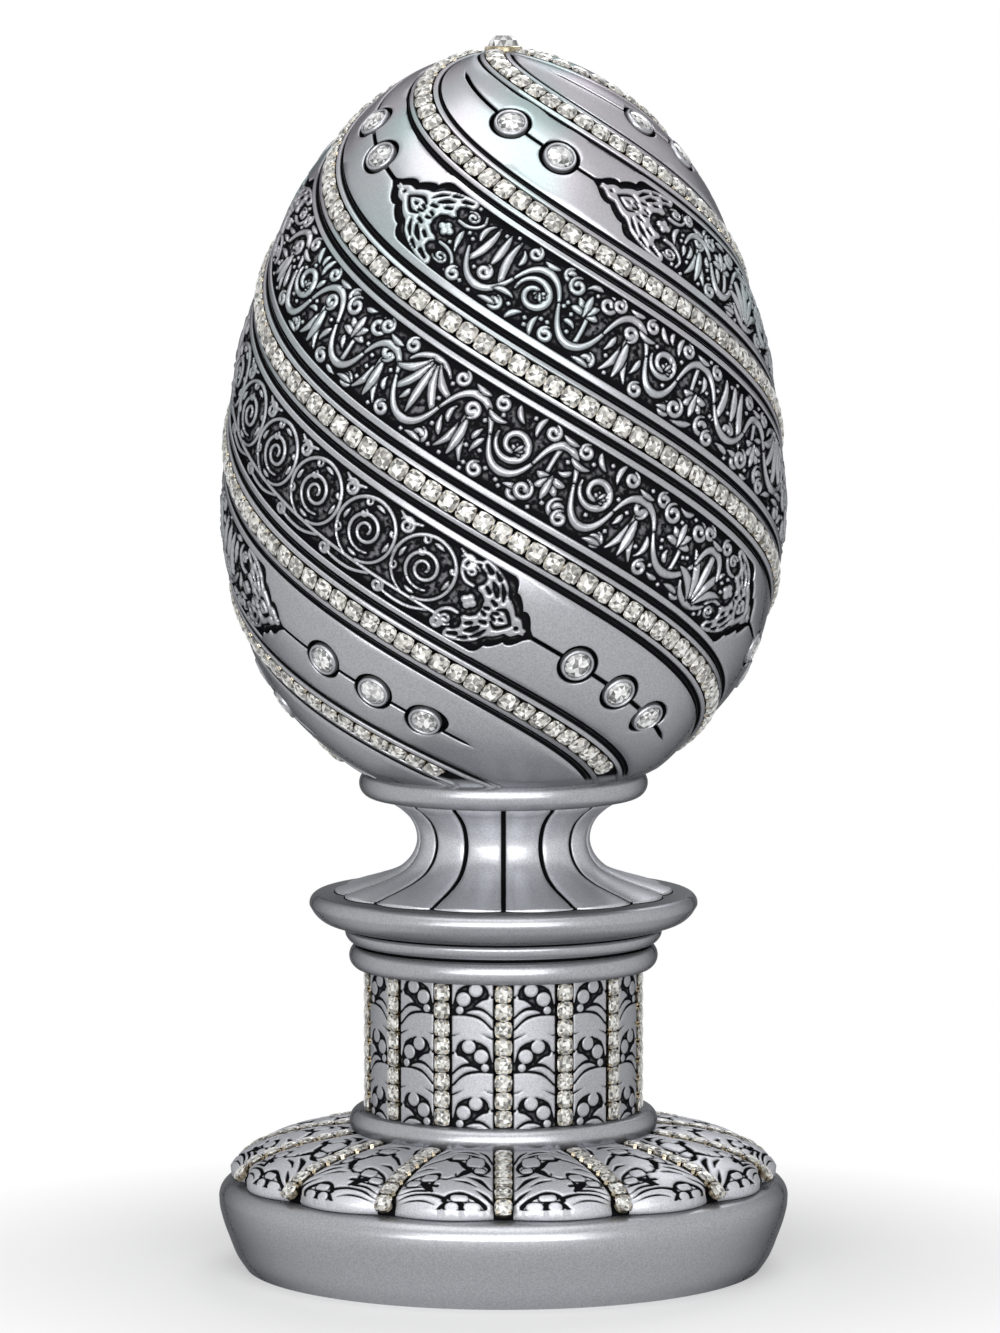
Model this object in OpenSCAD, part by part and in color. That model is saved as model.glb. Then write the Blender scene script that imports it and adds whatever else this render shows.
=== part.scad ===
// Decorative egg on a pedestal, wound with spiral stone chains.
// The origin is at the middle of the underside. The object stands along +Z and its front faces -Y.

/* [Egg] */
// Radius of the egg at its widest ring
egg_radius = 52; // [49:0.5:54]
// Height of the egg from its widest ring to its crown
egg_rise = 85; // [76:1:92]
// Depth of the egg's curve from its widest ring to its lower pole
egg_drop = 56.5; // [56:0.5:60]
// Wall of the hollow casting
shell_wall = 3; // [2.5:0.5:6]
// Number of spiral bands, with a stone chain between each two
band_count = 6; // [5:1:7]
// Turn of a band from pole to pole, in degrees
band_turn = 366; // [300:6:400]
// Direction in which the first chain leaves the crown, in degrees from the front
band_start = -26.5; // [-60:0.5:60]
// Height of a band's middle over its edges
band_swell = 0.6; // [0.3:0.1:1]

/* [Spiral chains] */
// Diameter of a setting cup of the spiral chains
cup_d = 3.4; // [3:0.1:3.5]
// Height of a setting cup of the spiral chains
cup_h = 1.5; // [1.3:0.1:1.8]
// Distance from one cup of the spiral chains to the next
cup_pitch = 3.65; // [3.6:0.05:4.5]
// Depth of the channel that a spiral chain lies in
channel_depth = 1.2; // [1:0.1:1.4]
// Width of the thin rail beside a channel
rail_w = 0.9; // [0.6:0.1:1.2]
// Height of the thin rail over the egg's smooth curve
rail_h = 0.2; // [0.1:0.05:0.4]
// Width of the groove between a rail and its band
groove_w = 0.8; // [0.5:0.1:1.1]
// Depth of that groove
groove_depth = 0.6; // [0.3:0.1:0.9]

/* [Set stones] */
// Diameter of the bezel round a single stone
bezel_d = 6.2; // [5.4:0.2:6.4]
// Height of a bezel over the floor of its pocket
bezel_h = 1.3; // [1:0.1:1.6]
// Diameter of a single stone
set_stone_d = 4.8; // [4:0.2:5]
// Width of the groove left open round a bezel
bezel_moat = 0.7; // [0.4:0.1:0.9]
// Depth of a bezel's pocket under the band's middle
pocket_depth = 1; // [0.6:0.1:1.2]
// Way along the curve from the crown to a band's first stone
upper_reach = 31.5; // [30:0.5:34]
// Step between a band's two upper stones
upper_step = 8; // [7.8:0.1:8.4]
// Way along the curve from the crown to a band's first lower stone
lower_reach = 134.3; // [132:0.1:135]
// Step between a band's three lower stones, measured down the curve
lower_step = 6.2; // [6.1:0.1:6.4]

/* [Crown] */
// Diameter of the cup that holds the crown stone
crown_d = 7; // [6.4:0.1:7.2]
// Height of the crown stone's cup
crown_cup_h = 2.2; // [1.8:0.1:2.6]
// Height of the crown stone over its cup
crown_rise = 2; // [1.4:0.1:2.6]

/* [Egg cup] */
// Radius of the neck at its waist, over the petals
neck_radius = 16.1; // [15:0.1:17]
// Height from the collar's seat to the waist
neck_flare_h = 9.9; // [9:0.1:11]
// Height from the waist to the middle of the rim
neck_rise_h = 10.7; // [10:0.1:11.5]
// Radius of the circle that the rim's bead is wound on
rim_radius = 24.2; // [23:0.1:25]
// Radius of the rim's bead itself
rim_bead = 2.7; // [2.2:0.1:3]
// Number of petals round the neck
petal_count = 14; // [10:1:16]
// Reach of the petals' tips from the axis
petal_reach = 31.3; // [30:0.1:32]
// Thickness of a petal where it lies on the collar
petal_h = 0.6; // [0.4:0.1:0.9]
// Radius of a petal's rounded tip
petal_tip = 8.5; // [8:0.1:10]
// Width of the groove between two petals
flute_w = 0.7; // [0.4:0.1:1]
// Depth of the groove between two petals
flute_depth = 0.8; // [0.4:0.1:1.2]
// Diameter of the peg under the egg cup
peg_d = 18; // [14:1:22]
// Length of the peg under the egg cup
peg_h = 5; // [3:0.5:6]

/* [Collar] */
// Greatest radius of the collar
collar_radius = 36.2; // [35:0.1:38]
// Height of the collar from its foot to its flat top
collar_h = 9.6; // [9:0.1:10.5]
// Radius of the collar's rounded edge
collar_edge = 1.9; // [1.5:0.1:2.2]
// Radius of the collar's foot above the joint line
collar_foot = 28.4; // [27.5:0.1:29]
// Depth of the dark joint line under the collar
joint_depth = 1.5; // [0.8:0.1:2]
// Height of the dark joint line
joint_h = 0.5; // [0.3:0.1:0.8]

/* [Bead rings] */
// Radius of the circle that a bead ring is wound on
ring_radius = 26.3; // [26:0.1:27]
// Radius of the bead itself
ring_bead = 2.5; // [2.2:0.1:2.8]
// Height of a ring between its two flat seats
ring_h = 4.2; // [3.8:0.1:4.3]

/* [Drum] */
// Radius of the drum
drum_radius = 25.9; // [25.5:0.1:26]
// Height of the drum between the two rings
drum_h = 26.8; // [26.6:0.1:30]
// Radius of the drum's spigots
spigot_radius = 22; // [18:0.5:22.5]
// Reach of a spigot past its ring
spigot_reach = 3; // [2:0.5:4]
// Number of stone chains round the drum and on the skirt
column_count = 14; // [12:1:14]
// Diameter of a setting cup on the drum and the skirt
small_cup_d = 3.1; // [2.8:0.1:3.2]
// Height of such a cup
small_cup_h = 1.4; // [1.2:0.1:1.6]
// Distance from one such cup to the next
small_pitch = 3.3; // [3.25:0.05:3.35]
// Number of stones in a chain on the drum
drum_stones_high = 8; // [6:1:8]
// Depth of a chain's channel in the drum
slot_depth = 1; // [0.8:0.1:1.2]

/* [Skirt] */
// Height of the skirt from the plinth to the top of its dome
skirt_h = 10.6; // [10:0.1:12]
// Radius of the skirt at the middle of a panel's lower edge
skirt_radius = 50.8; // [50:0.1:51.2]
// Depth of the notch between two panels at the lower edge
scallop_depth = 1.6; // [1:0.1:2]
// Depth to which the lower ring sinks into the skirt's top
ring_sink = 1.8; // [1.4:0.1:2.2]
// Swell of a panel over its edges
panel_swell = 0.7; // [0.4:0.1:1]
// Number of stones in a chain on the skirt
skirt_stones_long = 7; // [5:1:7]
// Distance from one cup of the skirt to the next, along the dome
skirt_pitch = 3.45; // [3.4:0.05:3.5]

/* [Plinth] */
// Greatest radius of the plinth
plinth_radius = 53.2; // [53:0.1:56]
// Radius of the plinth's underside
plinth_foot = 48.3; // [46:0.1:50]
// Height of the plinth
plinth_h = 16.4; // [15:0.1:18]
// Radius of the plinth's rounded shoulder
plinth_shoulder = 3.2; // [2.4:0.1:3.4]
// Radius of the boss that centres the skirt
boss_radius = 20; // [16:0.5:24]
// Height of that boss
boss_h = 3; // [2:0.5:4]

/* [Tie rod] */
// Diameter of the rod that ties the tiers together
rod_d = 6; // [5:0.5:6]
// Length of the rod inside the egg's foot
rod_bite = 7; // [5:0.5:9]
// Diameter of the washer
washer_d = 14; // [12:1:18]
// Thickness of the washer
washer_h = 1.2; // [1:0.1:1.6]
// Width of the nut across its corners
nut_d = 11.5; // [10.5:0.5:12]
// Height of the nut
nut_h = 5; // [4:0.5:5.5]
// Thickness of the felt pad
felt_h = 1.2; // [0.8:0.1:1.6]
// Radius of the felt pad
felt_radius = 42; // [38:1:44]

/* [Fits] */
// Clearance between a spigot or rod and its hole
fit_gap = 0.2; // [0.15:0.05:0.3]
// Clearance between the egg and its cup
seat_gap = 0.3; // [0.3:0.05:0.4]
// Clearance under a setting cup on a curved floor
bed_gap = 0.08; // [0.05:0.01:0.15]
// Clearance between a stone and its setting
stone_gap = 0.05; // [0.04:0.01:0.08]

/* [Hidden] */

silver = [0.62, 0.63, 0.66];
dark_silver = [0.5, 0.51, 0.54];
champagne = [0.83, 0.76, 0.6];
crystal = [0.93, 0.96, 1, 0.6];
steel = [0.72, 0.73, 0.75];
felt_black = [0.08, 0.08, 0.09];

$fn = 48;
// Overrun of a cut past the face that it opens
cut = 1;
// Fineness of the tables of the curves, in degrees
curve_step = 1;
// Fineness of the egg's plain inner profile, in degrees
profile_step = 3;
// Rows of the egg's relief from crown to foot
egg_rows = 46;
// Rows of the skirt's dome
skirt_rows = 7;
// Height over the egg's foot at which the relief has died away
relief_end = 4.6;
// Height over that in which it grows to its full depth
relief_fade = 2.6;
// Run of the sloping wall between two levels of the relief
wall_run = 0.15;
// Radius at which the bands reach their full swell, as a share of the egg's
swell_radius_share = 0.6;
// Parts of a setting, as shares of its diameter or height
cup_wall_share = 0.06;
cup_floor_share = 0.45;
stone_rise_share = 0.12;
table_share = 0.56;
bezel_rise_share = 0.24;

// Heights of the tiers, from the ground up
skirt_base = plinth_h;
skirt_top = skirt_base + skirt_h;
lower_ring_z = skirt_top - ring_sink;
drum_z = lower_ring_z + ring_h;
upper_ring_z = drum_z + drum_h;
collar_z = upper_ring_z + ring_h;
collar_top = collar_z + collar_h;
waist_z = collar_top + neck_flare_h;
rim_z = waist_z + neck_rise_h;
// The egg's lower curve meets the crest of the rim's bead, part of its radius over its middle
seat_share = 0.25;
seat_height = rim_z + rim_bead * seat_share;
egg_z = seat_height + egg_drop * sqrt(1 - pow(rim_radius / egg_radius, 2));
foot_radius_share = 0.29;
foot_z = egg_z - egg_drop * sqrt(1 - pow(foot_radius_share, 2));
foot_angle = 180 - asin(foot_radius_share);
crown_seat_radius = crown_d / 2 + fit_gap;
crown_angle = asin(crown_seat_radius / egg_radius);

// The egg's curve. An angle of 0 is the crown, 90 the widest ring and 180 the lower pole.
function curve_r(u) = egg_radius * sin(u);
function curve_z(u) = (u < 90 ? egg_rise : egg_drop) * cos(u);
function curve_point(u) = [curve_r(u), curve_z(u)];
// Tilt of the surface's normal from the axis
function curve_tilt(u) = atan2(sin(u) / egg_radius, cos(u) / (u < 90 ? egg_rise : egg_drop));
// Length of the curve from the crown, tabled once and read both ways
arc_table = [
    for (i = 0, s = 0; i <= 180;
         s = s + norm(curve_point(i + curve_step) - curve_point(i)), i = i + curve_step)
    [i, s]
];
angle_table = [for (row = arc_table) [row[1], row[0]]];
function arc_at(u) = lookup(u, arc_table);
function angle_at(s) = lookup(s, angle_table);
pole_arc = arc_at(180);
turn_rate = band_turn / pole_arc;
band_angle = 360 / band_count;
// A band turns by the same angle for each millimetre down the curve
function spin_at(u) = band_start - 90 + turn_rate * arc_at(u);
// Length along a spiral for one length down the curve
function slant(u) = sqrt(1 + pow(curve_r(u) * turn_rate * PI / 180, 2));
// Half the distance between two chains, square to them
function half_band(u) = PI * curve_r(u) / (band_count * slant(u));
// Angle about the axis of a distance square to a chain
function side_angle(u, d) = d * slant(u) / curve_r(u) * 180 / PI;

// Cross-section of the relief, from a chain's middle to a band's middle, at distances square to the chain
channel_half = cup_d / 2 + fit_gap;
step_widths = [
    channel_half, channel_half + wall_run,
    channel_half + rail_w, channel_half + rail_w + wall_run,
    channel_half + rail_w + groove_w, channel_half + rail_w + groove_w + wall_run
];
step_limit_shares = [0.84, 0.87, 0.9, 0.92, 0.95, 0.97];
step_heights = [-channel_depth, rail_h, rail_h, -groove_depth, -groove_depth, 0];
band_shares = [0.45, 1];
steps = len(step_widths);
side_columns = steps + len(band_shares);
function step_place(u, i) = min(step_widths[i], half_band(u) * step_limit_shares[i]);
function swell_at(u) = band_swell * min(1, curve_r(u) / (egg_radius * swell_radius_share));
function column_place(u, i) =
    i < steps ? step_place(u, i)
    : step_place(u, steps - 1)
      + (half_band(u) - step_place(u, steps - 1)) * band_shares[i - steps];
function column_height(u, i) =
    i < steps ? step_heights[i]
    : swell_at(u) * (1 - pow(1 - band_shares[i - steps], 2));
// The relief dies away where the egg enters its cup
function relief_share(u) =
    max(0, min(1, (egg_z + curve_z(u) - foot_z - relief_end) / relief_fade));
function lifted(u, lift) = [curve_r(u) + lift * sin(curve_tilt(u)), curve_z(u) + lift * cos(curve_tilt(u))];
function shell_point(u, turn, lift) =
    let (p = lifted(u, lift))
    [p[0] * cos(turn), p[0] * sin(turn), egg_z + p[1]];
// One row of the relief, all the way round; the side before a chain mirrors the side after it
function shell_row(u, scale) = [
    for (band = [0 : band_count - 1])
    for (column = [0 : 2 * side_columns - 2])
    let (i = column < side_columns ? column : 2 * side_columns - 2 - column,
         side = column < side_columns ? 1 : -1,
         start = band_angle * (column < side_columns ? band : band + 1))
    shell_point(u, spin_at(u) + start + side * side_angle(u, column_place(u, i)),
                column_height(u, i) * scale)
];
// The seat of the crown stone, level with the channels' floor
function crown_row(u) = [
    for (point = shell_row(u, 0)) [point[0], point[1], point[2] - channel_depth]
];
row_step = (foot_angle - crown_angle) / egg_rows;
shell_rows = concat(
    [crown_row(crown_angle)],
    [for (i = [0 : egg_rows])
        let (u = crown_angle + i * row_step) shell_row(u, relief_share(u))]
);

// Faces of a closed skin: rows of points from top to bottom, each counter-clockwise seen from above
function skin_points(rows, top_z, bottom_z) = concat(
    [for (row = rows) for (point = row) point], [[0, 0, top_z], [0, 0, bottom_z]]
);
function skin_faces(rows) =
    let (n = len(rows[0]), m = len(rows))
    concat(
        [for (i = [0 : m - 2]) for (j = [0 : n - 1])
            for (half = [0, 1])
            let (a = i * n + j, b = i * n + (j + 1) % n, c = b + n, d = a + n)
            half == 0 ? [a, b, c] : [a, c, d]],
        [for (j = [0 : n - 1]) [m * n, (j + 1) % n, j]],
        [for (j = [0 : n - 1]) [m * n + 1, (m - 1) * n + j, (m - 1) * n + (j + 1) % n]]
    );
module skin(rows)
    polyhedron(skin_points(rows, rows[0][0][2], rows[len(rows) - 1][0][2]), skin_faces(rows), 4);

// Puts its children on the egg, with their own Z square to the surface
module on_egg(u, turn, lift) {
    p = lifted(u, lift);
    rotate([0, 0, turn])
        translate([p[0], 0, egg_z + p[1]])
            rotate([0, curve_tilt(u), 0])
                children();
}

// Middle of a band, and the places of its single stones
function band_middle(u, band) = spin_at(u) + band_angle * (band + 0.5);
upper_angles = [for (i = [0, 1]) angle_at(upper_reach + i * upper_step)];
lower_angles = [for (i = [0 : 2]) angle_at(lower_reach + i * lower_step)];
module on_bands(angles)
    for (band = [0 : band_count - 1])
        for (u = angles)
            on_egg(u, band_middle(u, band), swell_at(u) - pocket_depth)
                children();

// A setting cup, open at the top, and the stone that drops into it
function cup_bore(d) = d / 2 - d * cup_wall_share;
module setting(d, h)
    difference() {
        cylinder(r = d / 2, h = h);
        translate([0, 0, h * cup_floor_share])
            cylinder(r = cup_bore(d), h = h);
    }
module stone(d, h, rise) {
    girdle = cup_bore(d) - stone_gap;
    rotate_extrude()
        polygon([
            [0, h * cup_floor_share], [girdle, h * cup_floor_share], [girdle, h],
            [girdle * table_share, h + rise], [0, h + rise]
        ]);
}

// The egg: a hollow casting with bands, rails, channels and stone pockets
inner_radius_share = (egg_radius - shell_wall) / egg_radius;
module egg_curve(margin)
    rotate_extrude()
        polygon([
            for (u = [0 : profile_step : 180])
            let (p = lifted(u, margin))
            [u % 180 == 0 ? 0 : p[0], p[1]]
        ]);
boss_inner_z = foot_z + rod_bite + shell_wall;
module egg_shell()
    color(silver)
        difference() {
            skin(shell_rows);
            difference() {
                translate([0, 0, egg_z]) egg_curve(-shell_wall - channel_depth);
                translate([0, 0, foot_z - egg_drop]) cylinder(r = egg_radius, h = boss_inner_z - foot_z + egg_drop);
            }
            translate([0, 0, foot_z - cut]) cylinder(d = rod_d + fit_gap, h = rod_bite + 2 * cut);
            on_bands(concat(upper_angles, lower_angles))
                cylinder(r = bezel_d / 2 + bezel_moat, h = pocket_depth + cut);
        }

// The crown stone in its cup
crown_base = egg_z + curve_z(crown_angle) - channel_depth + bed_gap;
module crown_cup()
    color(champagne)
        translate([0, 0, crown_base]) setting(crown_d, crown_cup_h);
module crown_stone()
    color(crystal)
        translate([0, 0, crown_base]) stone(crown_d, crown_cup_h, crown_rise);

// Places of the cups of one spiral chain, a fixed pitch apart along the spiral
chain_first = crown_seat_radius + cup_d / 2 + 3 * fit_gap;
chain_last = arc_at(angle_of_height(relief_end + relief_fade)) - cup_d / 4;
function angle_of_height(h) = 180 - acos((egg_z - foot_z - h) / egg_drop);
function mid_angle(s) = angle_at(s + cup_pitch / slant(angle_at(s)) / 2);
cup_angles = [
    for (s = chain_first; s <= chain_last; s = s + cup_pitch / slant(mid_angle(s))) angle_at(s)
];
module along_spiral(index)
    for (u = cup_angles)
        on_egg(u, spin_at(u) + band_angle * index, bed_gap - channel_depth)
            children();
module spiral_chain(index)
    color(champagne)
        along_spiral(index) setting(cup_d, cup_h);
module spiral_stones(index)
    color(crystal)
        along_spiral(index) stone(cup_d, cup_h, cup_d * stone_rise_share);

// Single stones of the bands in their bezels
module bezel()
    difference() {
        cylinder(r = bezel_d / 2, h = bezel_h);
        translate([0, 0, bezel_h * cup_floor_share])
            cylinder(r = set_stone_d / 2 + stone_gap, h = bezel_h);
    }
module set_stone()
    rotate_extrude()
        polygon([
            [0, bezel_h * cup_floor_share], [set_stone_d / 2, bezel_h * cup_floor_share],
            [set_stone_d / 2, bezel_h * (1 - cup_wall_share)],
            [set_stone_d / 2 * table_share, bezel_h * (1 + bezel_rise_share)],
            [0, bezel_h * (1 + bezel_rise_share)]
        ]);
module upper_bezels()
    color(silver) on_bands(upper_angles) bezel();
module upper_stones()
    color(crystal) on_bands(upper_angles) set_stone();
module lower_bezels()
    color(silver) on_bands(lower_angles) bezel();
module lower_stones()
    color(crystal) on_bands(lower_angles) set_stone();

// The egg cup: rim, bowl and a neck of petals that flare over the collar
petal_angle = 360 / petal_count;
// Shares of the flare, from the petals' tips up to the waist: how far out, and how far down
flare_shares = [[0.85, 0.85], [0.6, 0.73], [0.36, 0.6], [0.16, 0.42], [0.05, 0.22], [0, 0]];
// Shares of the rise from the waist to the rim's bead: how far out, and how far up
rise_shares = [[0.03, 0.18], [0.14, 0.38], [0.36, 0.55], [0.8, 0.72]];
function neck_outline(inset) = concat(
    [for (f = flare_shares)
        [neck_radius - inset + (petal_reach - neck_radius) * f[0], waist_z - neck_flare_h * f[1]]],
    [for (f = rise_shares)
        [neck_radius - inset + (rim_radius - neck_radius) * f[0], waist_z + neck_rise_h * f[1]]],
    [[rim_radius - rim_bead, rim_z]]
);
// The collar fills the hollow under the petals up to a cone. Where it starts and ends, as shares
slope_reach_share = 0.93;
slope_lift_share = 0.2;
hub_reach_share = 1.05;
hub_drop_share = 0.62;
collar_slope_r = petal_reach * slope_reach_share;
collar_slope_z = collar_top + petal_h * slope_lift_share;
collar_hub_r = neck_radius * hub_reach_share;
collar_hub_z = waist_z - neck_flare_h * hub_drop_share;
// Start of a groove as a share of the neck's radius, and its end as a share of the rim's bead
flute_start_share = 0.6;
flute_end_share = 0.7;
flute_top = rim_z - rim_bead * flute_end_share;
module neck_body(inset, tip)
    rotate_extrude()
        polygon(concat(
            [[0, collar_hub_z], [collar_hub_r, collar_hub_z], [collar_slope_r, collar_slope_z]],
            tip, neck_outline(inset), [[0, rim_z]]
        ));
module petal_tips(r)
    linear_extrude(height = neck_flare_h + neck_rise_h + rim_bead)
        union() {
            circle(r = r - petal_tip);
            for (i = [0 : petal_count - 1])
                rotate([0, 0, i * petal_angle - 90 + petal_angle / 2])
                    translate([r - petal_tip, 0])
                        circle(r = petal_tip);
        }
module egg_cup()
    color(silver)
        difference() {
            union() {
                neck_body(flute_depth, []);
                intersection() {
                    difference() {
                        neck_body(0, [[petal_reach, collar_top], [petal_reach, collar_top + petal_h]]);
                        for (i = [0 : petal_count - 1])
                            rotate([0, 0, i * petal_angle - 90])
                                translate([neck_radius * flute_start_share, -flute_w / 2, collar_top - cut])
                                    cube([petal_reach, flute_w, flute_top - collar_top + cut]);
                    }
                    translate([0, 0, collar_top - cut]) petal_tips(petal_reach);
                }
                translate([0, 0, rim_z])
                    rotate_extrude()
                        translate([rim_radius, 0]) circle(r = rim_bead);
                translate([0, 0, collar_hub_z - peg_h])
                    cylinder(d = peg_d, h = peg_h + cut);
            }
            translate([0, 0, egg_z]) egg_curve(seat_gap);
            translate([0, 0, foot_z]) cylinder(r = curve_r(foot_angle) + seat_gap, h = rim_bead);
            translate([0, 0, collar_hub_z - peg_h - cut])
                cylinder(d = rod_d + 2 * fit_gap, h = foot_z - collar_hub_z + peg_h + 2 * cut);
        }

// The collar: a lens-shaped disc with a step under it
// Shares of the way from its foot to its greatest radius, and of the way from the joint line to its edge
collar_shares = [[0.08, 0.19], [0.05, 0.24], [0.2, 0.27], [0.7, 0.5], [0.94, 0.86]];
module collar()
    color(silver)
        difference() {
            rotate_extrude()
                union() {
                    polygon(concat(
                        [[0, collar_z],
                         [collar_foot - joint_depth, collar_z],
                         [collar_foot - joint_depth, collar_z + joint_h],
                         [collar_foot, collar_z + joint_h]],
                        [for (f = collar_shares)
                            [collar_foot + (collar_radius - collar_foot) * f[0],
                             collar_z + joint_h + (collar_h - joint_h - collar_edge) * f[1]]],
                        [[collar_radius - collar_edge, collar_top],
                         [collar_slope_r, collar_top],
                         [collar_slope_r, collar_slope_z],
                         [collar_hub_r, collar_hub_z],
                         [0, collar_hub_z]]
                    ));
                    translate([collar_radius - collar_edge, collar_top - collar_edge])
                        circle(r = collar_edge);
                }
            translate([0, 0, collar_hub_z - peg_h]) cylinder(d = peg_d + 2 * fit_gap, h = peg_h + cut);
            translate([0, 0, collar_z - cut]) cylinder(r = spigot_radius + fit_gap, h = spigot_reach + cut);
            translate([0, 0, collar_z - cut]) cylinder(d = rod_d + 2 * fit_gap, h = collar_h + 2 * neck_flare_h);
        }

// A bead ring: a round bead with flat seats above and below
module bead_ring(z)
    color(silver)
        translate([0, 0, z + ring_h / 2])
            rotate_extrude()
                difference() {
                    union() {
                        translate([ring_radius, 0]) circle(r = ring_bead);
                        translate([spigot_radius + fit_gap, -ring_h / 2])
                            square([ring_radius - spigot_radius - fit_gap, ring_h]);
                    }
                    translate([0, ring_h / 2]) square([collar_radius, ring_bead]);
                    translate([0, -ring_h / 2 - ring_bead]) square([collar_radius, ring_bead]);
                    translate([0, -ring_h]) square([spigot_radius + fit_gap, 2 * ring_h]);
                }
module upper_ring() bead_ring(upper_ring_z);
module lower_ring() bead_ring(lower_ring_z);

// The drum: panels between upright channels, with a spigot at each end
column_angle = 360 / column_count;
slot_w = small_cup_d + 2 * fit_gap;
slot_floor = drum_radius - slot_depth;
module drum()
    color(dark_silver)
        difference() {
            union() {
                translate([0, 0, drum_z]) cylinder(r = drum_radius, h = drum_h);
                translate([0, 0, lower_ring_z - spigot_reach])
                    cylinder(r = spigot_radius, h = drum_h + 2 * ring_h + 2 * spigot_reach - fit_gap);
            }
            for (i = [0 : column_count - 1])
                rotate([0, 0, i * column_angle - 90])
                    translate([slot_floor, -slot_w / 2, drum_z - cut])
                        cube([slot_depth + cut, slot_w, drum_h + 2 * cut]);
            translate([0, 0, lower_ring_z - spigot_reach - cut])
                cylinder(d = rod_d + 2 * fit_gap, h = drum_h + 2 * ring_h + 2 * spigot_reach + 2 * cut);
        }
module on_drum()
    for (i = [0 : column_count - 1])
        for (j = [0 : drum_stones_high - 1])
            rotate([0, 0, i * column_angle - 90])
                translate([slot_floor, 0, drum_z + drum_h / 2 + (j - (drum_stones_high - 1) / 2) * small_pitch])
                    rotate([0, 90, 0])
                        children();
module drum_chains()
    color(champagne) on_drum() setting(small_cup_d, small_cup_h);
module drum_stones()
    color(crystal) on_drum() stone(small_cup_d, small_cup_h, small_cup_d * stone_rise_share);

// The skirt: a dome of swelling panels with a chain in the channel between each two
// Roundness of the dome's profile: 2 is an ellipse and more is squarer
dome_power = 2.3;
// A dome angle of 0 is the lower edge and 90 the middle of the top
function dome_r(t) = skirt_radius * pow(cos(t), 2 / dome_power);
function dome_z(t) = skirt_base + skirt_h * pow(sin(t), 2 / dome_power);
function dome_point(t) = [dome_r(t), dome_z(t)];
ring_seat_radius = ring_radius + ring_bead + fit_gap;
function dome_angle(r) = acos(pow(r / skirt_radius, dome_power / 2));
// The dome runs on under the ring, and its chains start beside the ring
dome_top_angle = dome_angle(ring_radius);
chain_top_angle = dome_angle(ring_seat_radius);
// Dome angle that gives the lip its radius
dome_edge_angle = 4;
channel_side = slot_w / 2;
panel_shares = [0.25, 0.6, 1];
panel_columns = 2 + len(panel_shares);
panel_half = column_angle / 2;
function slot_angle(t, w) = asin(w / dome_r(t));
function panel_place(t, i) =
    i == 0 ? slot_angle(t, channel_side)
    : i == 1 ? slot_angle(t, channel_side + wall_run)
    : slot_angle(t, channel_side + wall_run)
      + (panel_half - slot_angle(t, channel_side + wall_run)) * panel_shares[i - 2];
function panel_lift(i) =
    i == 0 ? -slot_depth
    : i == 1 ? 0
    : panel_swell * (1 - pow(1 - panel_shares[i - 2], 2));
function dome_tilt(t) =
    let (step = dome_point(t + curve_step) - dome_point(t - curve_step))
    atan2(step[1], -step[0]);
function dome_at(t, turn, lift) =
    let (tilt = dome_tilt(t), r = dome_r(t) + lift * sin(tilt), z = dome_z(t) + lift * cos(tilt))
    [r * cos(turn), r * sin(turn), z];
function edge_inset(i) = scallop_depth * (i < 2 ? 1 : pow(1 - panel_shares[i - 2], 2));
function lip_at(t, turn, i, z) =
    let (r = dome_r(t) - edge_inset(i) + (z > skirt_base ? panel_lift(max(i, 1)) / 2 : 0))
    [r * cos(turn), r * sin(turn), z];
// A row is made by its dome angle, or is one of the two rows of the lip where that angle is zero or less
function skirt_point(t, turn, i) =
    t > 0 ? dome_at(t, turn, panel_lift(i))
    : lip_at(dome_edge_angle, turn, i, skirt_base + (t == 0 ? panel_swell : 0));
function skirt_row(t) = [
    for (column = [0 : column_count - 1])
    for (k = [0 : 2 * panel_columns - 2])
    let (i = k < panel_columns ? k : 2 * panel_columns - 2 - k,
         side = k < panel_columns ? 1 : -1,
         start = column_angle * (k < panel_columns ? column : column + 1) - 90)
    skirt_point(t, start + side * panel_place(max(t, dome_edge_angle), i), i)
];
// The rows stop at a dome angle where the lip begins
dome_lip_angle = 12;
dome_row_step = (dome_top_angle - dome_lip_angle) / skirt_rows;
skirt_skin = concat(
    [for (i = [0 : skirt_rows]) skirt_row(dome_top_angle - i * dome_row_step)],
    [skirt_row(0), skirt_row(-1)]
);
module skirt()
    color(dark_silver)
        difference() {
            skin(skirt_skin);
            translate([0, 0, lower_ring_z]) cylinder(r = ring_seat_radius, h = ring_sink + 2 * cut);
            translate([0, 0, lower_ring_z - spigot_reach - fit_gap])
                cylinder(r = spigot_radius + fit_gap, h = spigot_reach + 2 * cut);
            translate([0, 0, skirt_base - cut]) cylinder(r = boss_radius + fit_gap, h = boss_h + fit_gap + cut);
            translate([0, 0, skirt_base - cut]) cylinder(d = rod_d + 2 * fit_gap, h = skirt_h + 2 * cut);
        }
// Length of the dome's curve from the ring outwards, with the dome angle at each length
dome_table = [
    for (t = chain_top_angle, s = 0; t > dome_edge_angle;
         s = s + norm(dome_point(t - curve_step) - dome_point(t)), t = t - curve_step)
    [s, t]
];
skirt_angles = [
    for (i = [0 : skirt_stones_long - 1]) lookup((i + 0.5) * skirt_pitch, dome_table)
];
module on_skirt()
    for (i = [0 : column_count - 1])
        for (t = skirt_angles) {
            p = dome_point(t);
            tilt = dome_tilt(t);
            rotate([0, 0, i * column_angle - 90])
                translate([p[0], 0, p[1]])
                    rotate([0, tilt, 0])
                        translate([0, 0, bed_gap - slot_depth])
                            children();
        }
module skirt_chains()
    color(champagne) on_skirt() setting(small_cup_d, small_cup_h);
module skirt_stones()
    color(crystal) on_skirt() stone(small_cup_d, small_cup_h, small_cup_d * stone_rise_share);

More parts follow.
